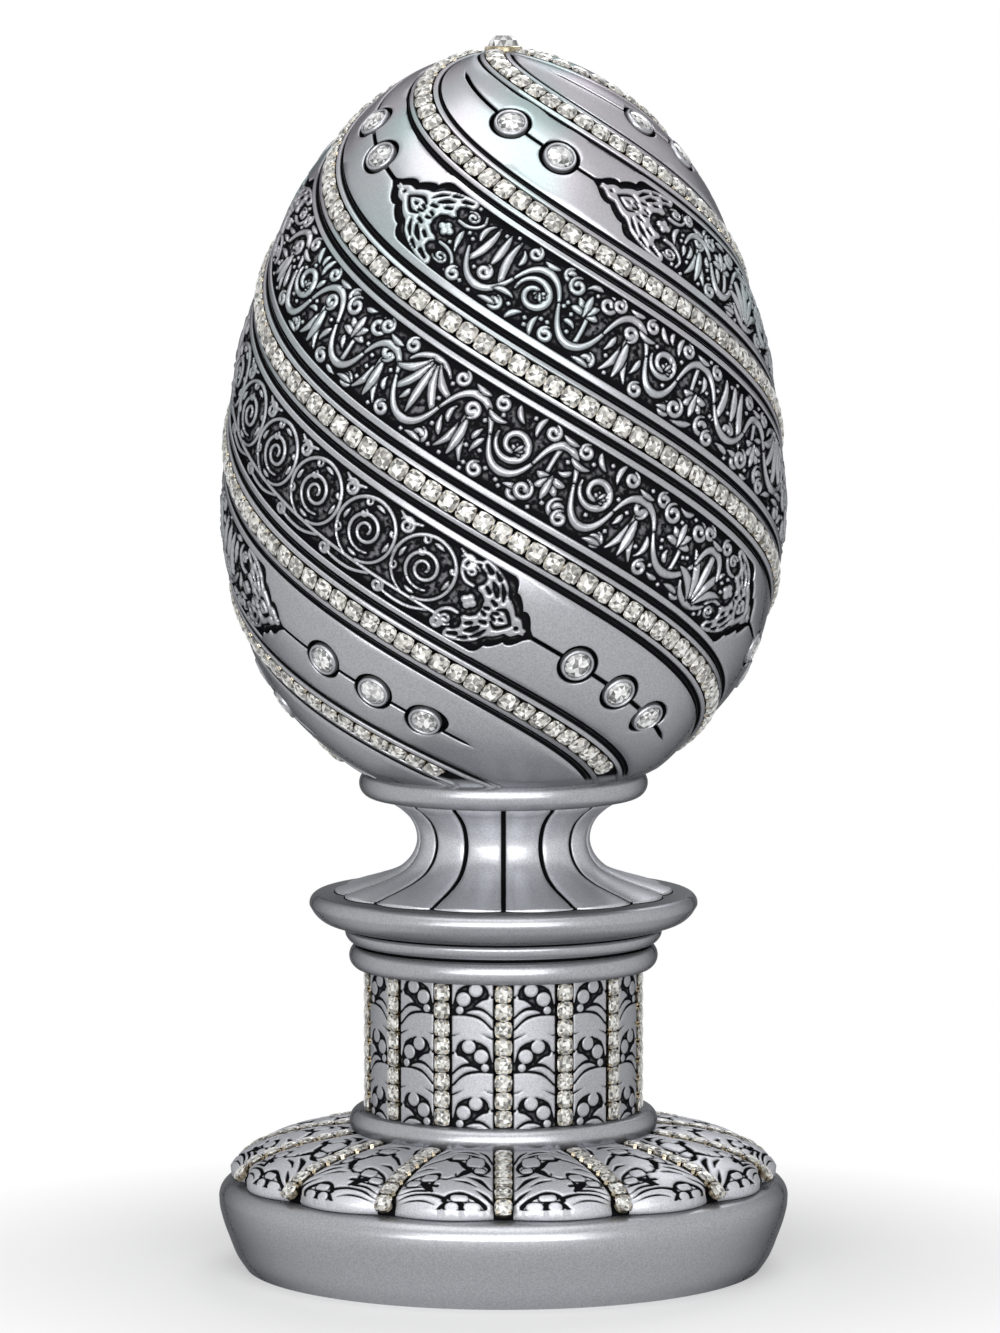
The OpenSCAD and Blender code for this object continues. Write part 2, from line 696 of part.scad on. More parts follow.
// The plinth: a plain tapered base with a rounded shoulder
side_shares = [[0, 0], [0.32, 0.14], [0.64, 0.37], [0.93, 0.62]];
nut_room = nut_h + washer_h + felt_h + 2 * fit_gap;
module plinth()
    color(silver)
        difference() {
            union() {
                rotate_extrude()
                    union() {
                        polygon(concat(
                            [[0, 0]],
                            [for (f = side_shares)
                                [plinth_foot + (plinth_radius - plinth_foot) * f[0], plinth_h * f[1]]],
                            [[plinth_radius, plinth_h - plinth_shoulder],
                             [plinth_radius - plinth_shoulder, plinth_h], [0, plinth_h]]
                        ));
                        translate([plinth_radius - plinth_shoulder, plinth_h - plinth_shoulder])
                            circle(r = plinth_shoulder);
                    }
                cylinder(r = boss_radius, h = plinth_h + boss_h);
            }
            translate([0, 0, -cut]) cylinder(r = felt_radius + fit_gap, h = felt_h + cut);
            translate([0, 0, -cut]) cylinder(d = washer_d + 2 * fit_gap, h = nut_room + cut);
            translate([0, 0, -cut]) cylinder(d = rod_d + 2 * fit_gap, h = plinth_h + boss_h + 2 * cut);
        }

// The tie rod with its washer and nut, behind a felt pad
washer_z = nut_room - washer_h;
nut_z = washer_z - nut_h;
module tie_rod()
    color(steel)
        translate([0, 0, nut_z]) cylinder(d = rod_d, h = foot_z + rod_bite - nut_z);
module tie_washer()
    color(steel)
        translate([0, 0, washer_z])
            difference() {
                cylinder(d = washer_d, h = washer_h);
                translate([0, 0, -cut]) cylinder(d = rod_d + 2 * fit_gap, h = washer_h + 2 * cut);
            }
module tie_nut()
    color(steel)
        translate([0, 0, nut_z])
            difference() {
                cylinder(d = nut_d, h = nut_h, $fn = 6);
                translate([0, 0, -cut]) cylinder(d = rod_d + fit_gap, h = nut_h + 2 * cut);
            }
module felt_pad()
    color(felt_black)
        cylinder(r = felt_radius, h = felt_h);

egg_shell();
crown_cup();
crown_stone();
spiral_chain(0);  // spiral_chain_1
spiral_chain(1);  // spiral_chain_2
spiral_chain(2);  // spiral_chain_3
spiral_chain(3);  // spiral_chain_4
spiral_chain(4);  // spiral_chain_5
spiral_chain(5);  // spiral_chain_6
spiral_stones(0);  // spiral_stones_1
spiral_stones(1);  // spiral_stones_2
spiral_stones(2);  // spiral_stones_3
spiral_stones(3);  // spiral_stones_4
spiral_stones(4);  // spiral_stones_5
spiral_stones(5);  // spiral_stones_6
upper_bezels();
upper_stones();
lower_bezels();
lower_stones();
egg_cup();
collar();
upper_ring();
drum();
drum_chains();
drum_stones();
lower_ring();
skirt();
skirt_chains();
skirt_stones();
plinth();
tie_rod();
tie_washer();
tie_nut();
felt_pad();
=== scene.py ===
# %% [markdown]
# # A decorative egg wound with stone chains
# The real object is a stack of cast resin tiers, painted satin silver and rubbed with black, so that the
# black stays in every hollow. Six chains of small cut stones wind down the egg, and carved bands lie between them.
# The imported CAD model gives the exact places. Here each tier gets its fine shape and its finish.
# All sizes below are in millimetres, and a piece is turned into Blender's metres only when its mesh is filled.

# %% Load the frame
import random
from math import ceil, cos, pi, radians, sin, sqrt
import bmesh
import bpy
import numpy as np
from mathutils import Matrix, Vector


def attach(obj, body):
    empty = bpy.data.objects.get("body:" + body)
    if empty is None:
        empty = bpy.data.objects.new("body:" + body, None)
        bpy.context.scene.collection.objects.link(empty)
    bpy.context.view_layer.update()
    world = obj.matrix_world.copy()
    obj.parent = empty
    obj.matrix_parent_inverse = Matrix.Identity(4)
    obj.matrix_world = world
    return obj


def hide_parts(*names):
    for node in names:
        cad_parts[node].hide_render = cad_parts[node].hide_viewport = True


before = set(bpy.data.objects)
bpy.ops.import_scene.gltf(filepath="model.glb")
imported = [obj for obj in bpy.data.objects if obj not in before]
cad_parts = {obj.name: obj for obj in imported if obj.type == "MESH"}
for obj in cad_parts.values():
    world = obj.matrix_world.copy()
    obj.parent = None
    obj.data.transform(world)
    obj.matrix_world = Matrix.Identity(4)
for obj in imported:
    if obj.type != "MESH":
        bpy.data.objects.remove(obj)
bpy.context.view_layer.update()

MM = 0.001
print("nodes in the frame:", len(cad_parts))

# %% [markdown]
# ## Camera, lamps and floor
# The picture was taken from the front with a long lens, a little above the egg's middle and tilted down.
# Distance and tilt were worked out from how open the round edges look. The small shift centres the frame.

# %% Camera
LENS, TILT_DOWN = 189.6, 5.27
camera_data = bpy.data.cameras.new("camera")
camera_data.sensor_fit = "VERTICAL"
camera_data.sensor_height = 36
camera_data.lens = LENS
camera_data.shift_x = -0.0026
camera_data.shift_y = -0.0056
camera = bpy.data.objects.new("camera", camera_data)
camera.location = (0, -1.3, 0.2335)
camera.rotation_euler = (radians(90 - TILT_DOWN), 0, 0)
bpy.context.collection.objects.link(camera)
bpy.context.scene.camera = camera
bpy.context.scene.view_settings.view_transform = "Standard"
print("camera stands", round(camera.location.length, 3), "m from the origin")

# %% [markdown]
# Satin silver needs large soft lamps, because it shows them as broad highlights. The surroundings are plain white
# to the camera and in reflections, but give the surfaces only a low even light, so that the lamps can model them.
# The white floor glows a little round the base, and more further out, so that only a soft shadow is left.
# Shader trees are long to write out, so a few helpers that add, link and combine nodes come first.

# %% Helpers for shader nodes
def empty_tree(owner):
    owner.use_nodes = True
    owner.node_tree.nodes.clear()
    return owner.node_tree

def add_node(tree, kind, **values):
    """A new node. Each keyword is the name of an input, with _ for a space, and gives its plain value."""
    node = tree.nodes.new("ShaderNode" + kind)
    for name, value in values.items():
        node.inputs[name.replace("_", " ")].default_value = value
    return node

def combined(tree, operation, first, second):
    math = add_node(tree, "Math")
    math.operation = operation
    for value, socket in zip((first, second), math.inputs):
        tree.links.new(value, socket)
    return math.outputs[0]

def stretched(tree, value, low, high, to_low=0.0, to_high=1.0):
    """A value between low and high, spread over another span and held at its ends."""
    span = add_node(tree, "MapRange", From_Min=low, From_Max=high, To_Min=to_low, To_Max=to_high)
    tree.links.new(value, span.inputs["Value"])
    return span.outputs["Result"]

def show_either(tree, share, first, second, output):
    """The first shader where share is 0 and the second where it is 1."""
    mix = add_node(tree, "MixShader")
    for value, socket in zip((share, first.outputs[0], second.outputs[0]), mix.inputs):
        tree.links.new(value, socket)
    tree.links.new(mix.outputs[0], add_node(tree, output).inputs["Surface"])

def rays_that_see(tree):
    """1 for rays from the camera, off gloss or through glass, and 0 for those that carry light to a surface."""
    path = add_node(tree, "LightPath").outputs
    direct = combined(tree, "MAXIMUM", path["Is Camera Ray"], path["Is Glossy Ray"])
    return combined(tree, "MAXIMUM", direct, path["Is Transmission Ray"])

# %% Surroundings
EVEN_LIGHT = 0.06
world = bpy.data.worlds.new("studio")
bpy.context.scene.world = world
tree = empty_tree(world)
even_light = add_node(tree, "Background", Color=(0.9, 0.95, 1, 1), Strength=EVEN_LIGHT)
white = add_node(tree, "Background", Color=(1, 1, 1, 1))
show_either(tree, rays_that_see(tree), even_light, white, "OutputWorld")
print("strength of the even light:", EVEN_LIGHT)

# %% Lamps
LAMPS_AIM = (0, 0, 0.12)

def hang_lamp(name, place, width, height, watts):
    lamp = bpy.data.lights.new(name, "AREA")
    lamp.shape = "RECTANGLE"
    lamp.size = width
    lamp.size_y = height
    lamp.energy = watts
    holder = bpy.data.objects.new(name, lamp)
    holder.location = place
    holder.rotation_euler = (Vector(LAMPS_AIM) - Vector(place)).to_track_quat("-Z", "Y").to_euler()
    bpy.context.collection.objects.link(holder)
    print(name, "gives", watts, "W")

hang_lamp("low_lamp", (-0.1, -1.35, 0.14), 2.0, 0.25, 12.5)
hang_lamp("front_lamp", (0.0, -1.2, 0.62), 1.7, 0.4, 7.4)
hang_lamp("top_lamp", (-0.05, -0.18, 0.66), 0.6, 0.5, 1.8)
hang_lamp("back_lamp", (0.2, 0.8, 0.8), 0.5, 0.5, 3.0)

# %% Floor
FLOOR_REACH = 3
GLOW_LEAST, GLOW_FROM, GLOW_FULL = 0.4, 0.06, 0.13

def mesh_of(bm, name):
    mesh = bpy.data.meshes.new(name)
    bm.to_mesh(mesh)
    bm.free()
    return mesh

bm = bmesh.new()
bmesh.ops.create_circle(bm, cap_ends=True, segments=96, radius=FLOOR_REACH)
floor = bpy.data.objects.new("floor", mesh_of(bm, "floor"))
bpy.context.collection.objects.link(floor)
paper = bpy.data.materials.new("white_paper")
tree = empty_tree(paper)
from_middle = add_node(tree, "VectorMath")
from_middle.operation = "LENGTH"
tree.links.new(add_node(tree, "TexCoord").outputs["Object"], from_middle.inputs[0])
glow = stretched(tree, from_middle.outputs["Value"], GLOW_FROM, GLOW_FULL, GLOW_LEAST)
show_either(tree, combined(tree, "MULTIPLY", glow, rays_that_see(tree)),
            add_node(tree, "BsdfDiffuse", Color=(0.9, 0.9, 0.9, 1)), add_node(tree, "Emission"), "OutputMaterial")
floor.data.materials.append(paper)
print("the floor glows fully from", GLOW_FULL, "m on")

# %% [markdown]
# ## Finishes
# Every finish starts from one shader and a few small helpers: a mottle made of noise that is fixed to the object,
# a stretch of its values, and a blend of two colours. Each finish then differs in scale, contrast and roughness.

# %% Helpers for finishes
def new_finish(name, metallic, roughness, **values):
    finish = bpy.data.materials.new(name)
    tree = empty_tree(finish)
    shader = add_node(tree, "BsdfPrincipled", Metallic=metallic, Roughness=roughness, **values)
    tree.links.new(shader.outputs["BSDF"], add_node(tree, "OutputMaterial").inputs["Surface"])
    return finish, tree, shader

def mottle(tree, grain, detail=3.0, stretch=(1, 1, 1)):
    """Noise with spots of so many millimetres, fixed to the object."""
    turn = add_node(tree, "Mapping", Scale=stretch)
    noise = add_node(tree, "TexNoise", Scale=1 / (grain * MM), Detail=detail)
    tree.links.new(add_node(tree, "TexCoord").outputs["Object"], turn.inputs["Vector"])
    tree.links.new(turn.outputs["Vector"], noise.inputs["Vector"])
    return noise.outputs["Fac"]

def blended(tree, share, first, second):
    mix = add_node(tree, "Mix")
    mix.data_type = "RGBA"
    tree.links.new(share, mix.inputs["Factor"])
    for socket, colour in ((mix.inputs[6], first), (mix.inputs[7], second)):
        if isinstance(colour, tuple):
            socket.default_value = (*colour, 1)
        else:
            tree.links.new(colour, socket)
    return mix.outputs[2]

def dented(tree, shader, height, depth, strength):
    bump = add_node(tree, "Bump", Distance=depth * MM, Strength=strength)
    tree.links.new(height, bump.inputs["Height"])
    tree.links.new(bump.outputs["Normal"], shader.inputs["Normal"])

def piece_value(tree, name):
    value = add_node(tree, "Attribute")
    value.attribute_name = name
    return value.outputs["Fac"]

# %% [markdown]
# ### Satin silver paint
# Silver paint on resin is part metal and part lacquer: it shades like a solid colour and carries soft highlights.
# Fine metal flakes give it a grain of a few tenths of a millimetre. Where the casting is carved, an attribute named
# `hollow` says how deep a point lies, and black antiquing takes over there. The edge between them is kept sharp.

# %% Silver finishes
SILVER = (0.325, 0.33, 0.35)
PALE_SILVER = (0.41, 0.415, 0.44)
# A painted pearly sheen, from green to rose, that grows over the top of the egg between these heights in metres.
SHEEN_GREEN, SHEEN_ROSE = (0.38, 0.55, 0.53), (0.54, 0.50, 0.54)
SHEEN_FROM_Z, SHEEN_FULL_Z = 0.15, 0.22
SOOT = (0.007, 0.007, 0.008)
GREY_RUB = (0.15, 0.15, 0.16)

def silver_paint(name, painted_sheen=0.0, metal=0.8, pale=1.0):
    finish, tree, shader = new_finish(name, metal, 0.32, Specular_IOR_Level=0.0, Specular_Tint=(0.05, 0.05, 0.05, 1))
    flakes = stretched(tree, mottle(tree, 0.3), 0.38, 0.62)
    colour = blended(tree, flakes, tuple(c * pale for c in SILVER), tuple(c * pale for c in PALE_SILVER))
    # The top of the egg gets a painted pearly sheen, whose hue drifts in large soft patches.
    if painted_sheen:
        hue = stretched(tree, mottle(tree, 22, 1.0, (1, 1, 0.6)), 0.42, 0.58)
        parts = add_node(tree, "SeparateXYZ")
        tree.links.new(add_node(tree, "TexCoord").outputs["Object"], parts.inputs[0])
        amount = stretched(tree, parts.outputs["Z"], SHEEN_FROM_Z, SHEEN_FULL_Z, 0.0, painted_sheen)
        colour = blended(tree, amount, colour, blended(tree, hue, SHEEN_GREEN, SHEEN_ROSE))
    return finish, tree, shader, colour

def plain_silver(name):
    finish, tree, shader, colour = silver_paint(name)
    tree.links.new(colour, shader.inputs["Base Color"])
    tree.links.new(stretched(tree, mottle(tree, 4), 0.3, 0.7, 0.29, 0.34), shader.inputs["Roughness"])
    dented(tree, shader, mottle(tree, 0.2, 2.0), 0.004, 0.25)
    return finish

def antiqued_silver(name, painted_sheen=0.0, rub_grain=1.1, metal=0.8, satin=0.31, pale=1.0):
    """Silver where hollow is 0, black where it is 1, and a ground rubbed grey in spots where it is near 2."""
    finish, tree, shader, colour = silver_paint(name, painted_sheen, metal, pale)
    hollow = stretched(tree, piece_value(tree, "hollow"), 0.30, 0.62)
    rub = stretched(tree, mottle(tree, rub_grain, 4.0), 0.44, 0.62)
    open_ground = stretched(tree, piece_value(tree, "hollow"), 1.0, 1.8)
    ground = blended(tree, combined(tree, "MULTIPLY", rub, open_ground), SOOT, GREY_RUB)
    tree.links.new(blended(tree, hollow, colour, ground), shader.inputs["Base Color"])
    tree.links.new(stretched(tree, hollow, 0, 1, metal, 0.0), shader.inputs["Metallic"])
    tree.links.new(stretched(tree, hollow, 0, 1, satin, 0.5), shader.inputs["Roughness"])
    dented(tree, shader, mottle(tree, 0.2, 2.0), 0.006, 0.3)
    return finish

egg_silver = antiqued_silver("egg_silver", painted_sheen=0.45)
carved_silver = antiqued_silver("carved_silver", metal=0.5, satin=0.4, pale=1.04)
# The skirt and the petalled neck use paler copies of the same silver paint: that extra paleness is painted light.
lit_skirt_silver = antiqued_silver("lit_skirt_silver", metal=0.5, satin=0.42, pale=1.5)
lit_neck_silver = antiqued_silver("lit_neck_silver", metal=0.6, satin=0.38, pale=1.45)
smooth_silver = plain_silver("smooth_silver")
antique_plain = antiqued_silver("antique_plain", rub_grain=2.0)
print("nodes in the egg's silver:", len(egg_silver.node_tree.nodes))

# %% [markdown]
# ### Chain plating, cut stones and the hidden parts
# The chain's plating is a pale champagne gold. A foiled stone looks dark in one facet and white in the next, as each
# facet mirrors something else. That reflection is painted: each facet carries a `painted_reflection` of its own,
# and the gloss on top does the rest.

# %% Other finishes
# Ramp of the stones' painted facet reflections: black, three greys and white.
STONE_DARK, STONE_BRIGHT = 0.045, 0.86
STONE_STOPS = ((0.25, 0.13), (0.5, 0.33), (0.8, 0.58))

def plated_metal(name, dark, pale, roughness, grain):
    finish, tree, shader = new_finish(name, 1.0, roughness)
    colour = blended(tree, stretched(tree, mottle(tree, grain), 0.35, 0.65), dark, pale)
    tree.links.new(colour, shader.inputs["Base Color"])
    dented(tree, shader, mottle(tree, grain / 3, 2.0), 0.02, 0.3)
    return finish

def cut_stone_finish(name, warmth):
    """A grey ramp for painted facet reflections, yellowed by warmth, with small painted white sparkles on the bright
    ones.
    """
    finish, tree, shader = new_finish(name, 0.0, 0.04, Coat_Weight=0.3, Coat_Roughness=0.05)
    ramp = add_node(tree, "ValToRGB")
    colours = ramp.color_ramp.elements
    colours[0].color = (STONE_DARK, STONE_DARK, STONE_DARK, 1)
    colours[1].color = (STONE_BRIGHT, STONE_BRIGHT, STONE_BRIGHT - 0.04 * warmth, 1)
    for spot, grey in STONE_STOPS:
        colours.new(spot).color = (grey, grey * (1 - 0.05 * warmth), grey * (1 - 0.2 * warmth), 1)
    painted_reflection = piece_value(tree, "painted_reflection")
    tree.links.new(painted_reflection, ramp.inputs["Fac"])
    # Painted white sparkles: a mottle that lightens the bright facets further.
    painted_sparkle = combined(tree, "MULTIPLY", stretched(tree, mottle(tree, 0.9, 2.0), 0.4, 0.7, 0.0, 0.5), painted_reflection)
    tree.links.new(blended(tree, painted_sparkle, ramp.outputs["Color"], (0.9, 0.9, 0.88)), shader.inputs["Base Color"])
    return finish

def black_felt(name):
    finish, tree, shader = new_finish(name, 0.0, 0.95, Sheen_Weight=0.4)
    fibres = stretched(tree, mottle(tree, 0.4, 5.0, (1, 3, 1)), 0.3, 0.7)
    tree.links.new(blended(tree, fibres, (0.006, 0.006, 0.007), (0.03, 0.03, 0.034)), shader.inputs["Base Color"])
    dented(tree, shader, fibres, 0.15, 0.8)
    return finish

champagne_plating = plated_metal("champagne_plating", (0.14, 0.115, 0.075), (0.52, 0.45, 0.33), 0.28, 1.4)
zinc_plating = plated_metal("zinc_plating", (0.46, 0.47, 0.49), (0.62, 0.63, 0.66), 0.38, 2.0)
foiled_stone = cut_stone_finish("foiled_stone", 0.6)
clear_stone = cut_stone_finish("clear_stone", 0.0)
felt = black_felt("felt")
for name, finish in (("tie_rod", zinc_plating), ("tie_washer", zinc_plating), ("tie_nut", zinc_plating),
                     ("felt_pad", felt)):
    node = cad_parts[name]
    node.data.materials.clear()
    node.data.materials.append(finish)
print("finishes:", len(bpy.data.materials))

# %% [markdown]
# ## The egg's curve
# The egg is two half-ellipses that meet at the widest ring. A table of the way down the curve is made once, because
# everything on the egg is laid out along it: a band turns by the same angle for each millimetre down the curve.

# %% Tables of the curve
EGG_RADIUS, EGG_RISE, EGG_DROP = 52.0, 85.0, 56.5
RIM_RADIUS, RIM_BEAD, RIM_Z = 24.2, 2.7, 90.6
FOOT_SHARE = 0.29
EGG_Z = RIM_Z + RIM_BEAD * 0.25 + EGG_DROP * sqrt(1 - (RIM_RADIUS / EGG_RADIUS) ** 2)
FOOT_Z = EGG_Z - EGG_DROP * sqrt(1 - FOOT_SHARE ** 2)
BANDS = 6
FIRST_CHAIN = radians(-26.5 - 90)

steps = np.radians(np.linspace(0, 180, 3601))
ring = EGG_RADIUS * np.sin(steps)
level = np.where(steps < pi / 2, EGG_RISE, EGG_DROP) * np.cos(steps)
down = np.concatenate([[0], np.cumsum(np.hypot(np.diff(ring), np.diff(level)))])
TURN = radians(366) / down[-1]
slant = np.sqrt(1 + (ring * TURN) ** 2)
along = np.concatenate([[0], np.cumsum((slant[1:] + slant[:-1]) / 2 * np.diff(down))])
half_band = pi * ring / (BANDS * slant)
print("way down the egg:", round(down[-1], 1), "mm, along a band:", round(along[-1], 1), "mm")

# %% Places on the curve
def at(way, table):
    return np.interp(way, down, table)

def way_at(length):
    return np.interp(length, along, down)

def length_at(way):
    return float(at(way, along))

def spot(r, angle, z):
    """A place in metres, for a radius and a height in millimetres."""
    return np.stack([r * np.cos(angle), r * np.sin(angle), z], axis=-1) * MM

def egg_point(way, angle, height):
    """A place in metres: a way down the curve, an angle round the axis and a height over the surface."""
    turn = at(way, steps)
    drop = np.where(turn < pi / 2, EGG_RISE, EGG_DROP)
    tilt = np.arctan2(np.sin(turn) / EGG_RADIUS, np.cos(turn) / drop)
    r = EGG_RADIUS * np.sin(turn) + height * np.sin(tilt)
    z = EGG_Z + drop * np.cos(turn) + height * np.cos(tilt)
    return spot(r, angle, z)

def chain_angle(way, chain):
    """The angle of a chain, or of a band's middle where chain is a half more."""
    return FIRST_CHAIN + TURN * way + 2 * pi / BANDS * chain

def eased(share):
    share = np.clip(share, 0, 1)
    return share * share * (3 - 2 * share)

SQUARE_FROM, SQUARE_TO, SQUARE_FADE = 8, 158, 14

def on_band(length, share, off, height, band):
    """A point beside a band's middle: share of the way to the next chain, plus a distance off, both square to it."""
    way = way_at(length)
    fade = eased((way - SQUARE_FROM) / SQUARE_FADE) * eased((SQUARE_TO - way) / SQUARE_FADE)
    across = share * at(way, half_band) + off
    way = way - across * at(way, ring) * TURN / at(way, slant) * fade
    across = share * at(way, half_band) + off
    return egg_point(way, chain_angle(way, band + 0.5) + across * at(way, slant) / at(way, ring), height)

RELIEF_ENDS, RELIEF_FADE = 4.6, 2.6
BAND_RISE, BAND_SWELL, SWELL_RING = 0.08, 0.6, 31.2

def relief_left(way):
    """1 on most of the egg. Just above the foot, where the rim hides it, the relief runs out to 0."""
    return np.clip((EGG_Z + at(way, level) - FOOT_Z - RELIEF_ENDS) / RELIEF_FADE, 0, 1)

def swell(way, share):
    """How far a band bulges. Share is 0 at its edge and 1 along its middle."""
    return BAND_SWELL * np.minimum(1, at(way, ring) / SWELL_RING) * (1 - (1 - np.clip(share, 0, 1)) ** 2)

print("foot of the egg at", round(FOOT_Z, 2), "mm, its middle at", round(EGG_Z, 2), "mm")

# %% [markdown]
# ## Helpers for shapes
# Three ways of making a piece serve the whole object. `bent_grid` takes a flat grid and bends it by a rule, `turned`
# spins a closed outline round the axis as on a lathe, and `set_out` places copies of one small shape.

# %% Bent grids
def add_piece(name, mesh, finish, node, crease=None):
    """A finished piece. Edges sharper than crease degrees stay sharp, and without crease every facet does."""
    if crease is None:
        mesh.shade_flat()
    else:
        mesh.shade_smooth()
        mesh.set_sharp_from_angle(angle=radians(crease))
    mesh.materials.clear()
    mesh.materials.append(finish)
    piece = bpy.data.objects.new(name, mesh)
    bpy.context.collection.objects.link(piece)
    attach(piece, "root")
    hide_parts(node)
    print(name, "has", sum(len(p.vertices) - 2 for p in mesh.polygons), "triangles")

def read_all(items, field):
    """Three numbers of every vertex or face, as rows."""
    flat = np.empty(len(items) * 3, dtype=np.float32)
    items.foreach_get(field, flat)
    return flat.reshape(-1, 3)

def set_hollow(mesh, hollow):
    mesh.attributes.new("hollow", "FLOAT", "POINT").data.foreach_set("value", hollow.astype(np.float32))

def bent_grid(name, columns, rows, rule, rise=0):
    """rule(column, row) takes arrays of whole numbers and returns places in metres and each point's hollow.
    The faces are turned to look away from the axis, and rise says how steeply upwards outside is."""
    bm = bmesh.new()
    bmesh.ops.create_grid(bm, x_segments=columns - 1, y_segments=rows - 1, size=0.5)
    mesh = mesh_of(bm, name)
    flat = read_all(mesh.vertices, "co")
    column = np.rint((flat[:, 0] + 0.5) * (columns - 1)).astype(int)
    row = np.rint((flat[:, 1] + 0.5) * (rows - 1)).astype(int)
    places, hollow = rule(column, row)
    mesh.vertices.foreach_set("co", places.astype(np.float32).ravel())
    set_hollow(mesh, hollow)
    mesh.update()
    outwards = read_all(mesh.polygons, "center")
    outwards[:, 2] = rise * np.hypot(outwards[:, 0], outwards[:, 1])
    if np.sum(read_all(mesh.polygons, "normal") * outwards) < 0:
        mesh.flip_normals()
    return mesh

# %% Turned pieces
def turned(name, outline, segments):
    bm = bmesh.new()
    points = [bm.verts.new((r * MM, 0, z * MM)) for r, z in outline]
    edges = [bm.edges.new((points[i], points[(i + 1) % len(points)])) for i in range(len(points))]
    bmesh.ops.spin(bm, geom=points + edges, cent=(0, 0, 0), axis=(0, 0, 1), angle=2 * pi, steps=segments,
                   use_merge=True)
    bmesh.ops.remove_doubles(bm, verts=bm.verts, dist=1e-7)
    bmesh.ops.recalc_face_normals(bm, faces=bm.faces)
    return mesh_of(bm, name)

def blacken_joints(mesh, joints):
    """Each joint is a lower height, an upper height and a radius. What lies between and inside them is black."""
    x, y, z = read_all(mesh.vertices, "co").T / MM
    set_hollow(mesh, np.any([(z > low) & (z < high) & (np.hypot(x, y) < r) for low, high, r in joints], axis=0))

def arc(centre_r, centre_z, radius, start, end, count):
    turns = np.radians(np.linspace(start, end, count))
    return [(centre_r + radius * cos(t), centre_z + radius * sin(t)) for t in turns]

def smooth_line(points, count):
    """Points of a smooth curve through the given ones."""
    points = np.array(points, dtype=float)
    span = np.concatenate([[0], np.cumsum(np.hypot(*np.diff(points, axis=0).T))])
    slope = np.gradient(points, span, axis=0)
    places = np.linspace(0, span[-1], count)
    i = np.clip(np.searchsorted(span, places, side="right") - 1, 0, len(span) - 2)
    h = (span[i + 1] - span[i])[:, None]
    t = ((places - span[i])[:, None]) / h
    return ((2 * t**3 - 3 * t**2 + 1) * points[i] + (t**3 - 2 * t**2 + t) * h * slope[i]
            + (3 * t**2 - 2 * t**3) * points[i + 1] + (t**3 - t**2) * h * slope[i + 1])

# %% Copies of a small shape
dice = random.Random(11)

def set_out(name, shapes, places):
    """One mesh of copies of a small shape, taken in turn from shapes, one at each place."""
    bm = bmesh.new()
    for i, place in enumerate(places):
        copy = shapes[i % len(shapes)].copy()
        copy.transform(place)
        bm.from_mesh(copy)
        bpy.data.meshes.remove(copy)
    return mesh_of(bm, name)

def joined_grids(name, columns, rows, rules, rise=0):
    """Grids of one size, each bent by a rule of its own, as one mesh."""
    grids = [bent_grid(name, columns, rows, rule, rise) for rule in rules]
    return set_out(name, grids, [Matrix.Identity(4)] * len(grids))

def seat_on(point, ahead, outward):
    """A place at a point in metres: Z outwards, X ahead along the chain."""
    z = Vector(outward).normalized()
    x = (Vector(ahead) - Vector(ahead).dot(z) * z).normalized()
    return Matrix.Translation(Vector(point)) @ Matrix((x, z.cross(x), z)).transposed().to_4x4()

def spun(seats, spin):
    """The same seats, each turned about its own Z by an angle that spin() gives."""
    return [seat @ Matrix.Rotation(spin(), 4, "Z") for seat in seats]

# %% [markdown]
# ## The silver skin of the egg
# Between two chains lies one band. From the chain outwards, its section is a channel floor, a thin bright rail, a black
# groove with a hairline in it, and then the band. The section keeps its width square to the chain, so the skin is a
# flat grid whose columns are distances from the chain and whose rows are places along the band. The inner edge of the
# grid is cut back round the stones, the engraved line and the carved field, and rolls down into the dark.

# %% Outline of the openings
UPPER_STONES = [31.5, 39.5]
LOWER_STONES = [134.3, 140.5, 146.7]
UPPER_TIP, LOWER_TIP, LINE_START, LINE_END = (length_at(way) for way in (44.0, 128.9, 15.8, 153.2))
stone_lengths = [length_at(way) for way in UPPER_STONES + LOWER_STONES]
RAIL_END = 5.42
UPPER_STRETCH = 1.4
POCKET, LINE_HALF = 3.8, 0.34
FIELD_MOST = 9.6
TIP_SHAPE = np.array([
    (0, 0.25), (0.8, 0.7), (1.65, 1.5), (2.4, 2.7), (3.1, 3.6), (3.9, 4.15), (4.6, 4.2), (5.0, 3.95), (5.2, 4.3),
    (5.7, 5.1), (6.4, 5.9), (7.2, 6.6), (7.8, 6.8), (8.1, 6.75), (8.25, 7.4), (8.6, 8.4), (9.2, 9.2), (10, FIELD_MOST)])

def field_half(length):
    return at(way_at(length), half_band) - RAIL_END

def opening(length):
    """Half the width of the opening in the silver skin."""
    wide = LINE_HALF * eased((length - LINE_START) / 3) * eased((LINE_END - length) / 3)
    for middle in stone_lengths:
        wide = np.maximum(wide, np.sqrt(np.maximum(0, POCKET ** 2 - (length - middle) ** 2)))
    scale = field_half(length) / FIELD_MOST
    tip = np.minimum((length - UPPER_TIP) / UPPER_STRETCH, LOWER_TIP - length)
    shape = np.interp(tip / scale, TIP_SHAPE[:, 0], TIP_SHAPE[:, 1]) * scale
    return np.where((length > UPPER_TIP) & (length < LOWER_TIP), np.maximum(shape, wide), wide)

print("a carved field is", round(LOWER_TIP - UPPER_TIP, 1), "mm long")

# %% Rows and columns of the skin
SKIN_START, SKIN_END = length_at(3.75), length_at(172.0)
rows = [np.arange(SKIN_START, SKIN_END, 0.75), [SKIN_END],
        UPPER_TIP + np.arange(0, 13.2, 0.25), LOWER_TIP - np.arange(0, 9.4, 0.2)]
rows += [middle + POCKET * np.sin(np.radians(np.linspace(-90, 90, 25))) for middle in stone_lengths]
rows = np.unique(np.concatenate(rows).round(3))
rows = rows[np.concatenate([[True], np.diff(rows) > 0.02])]

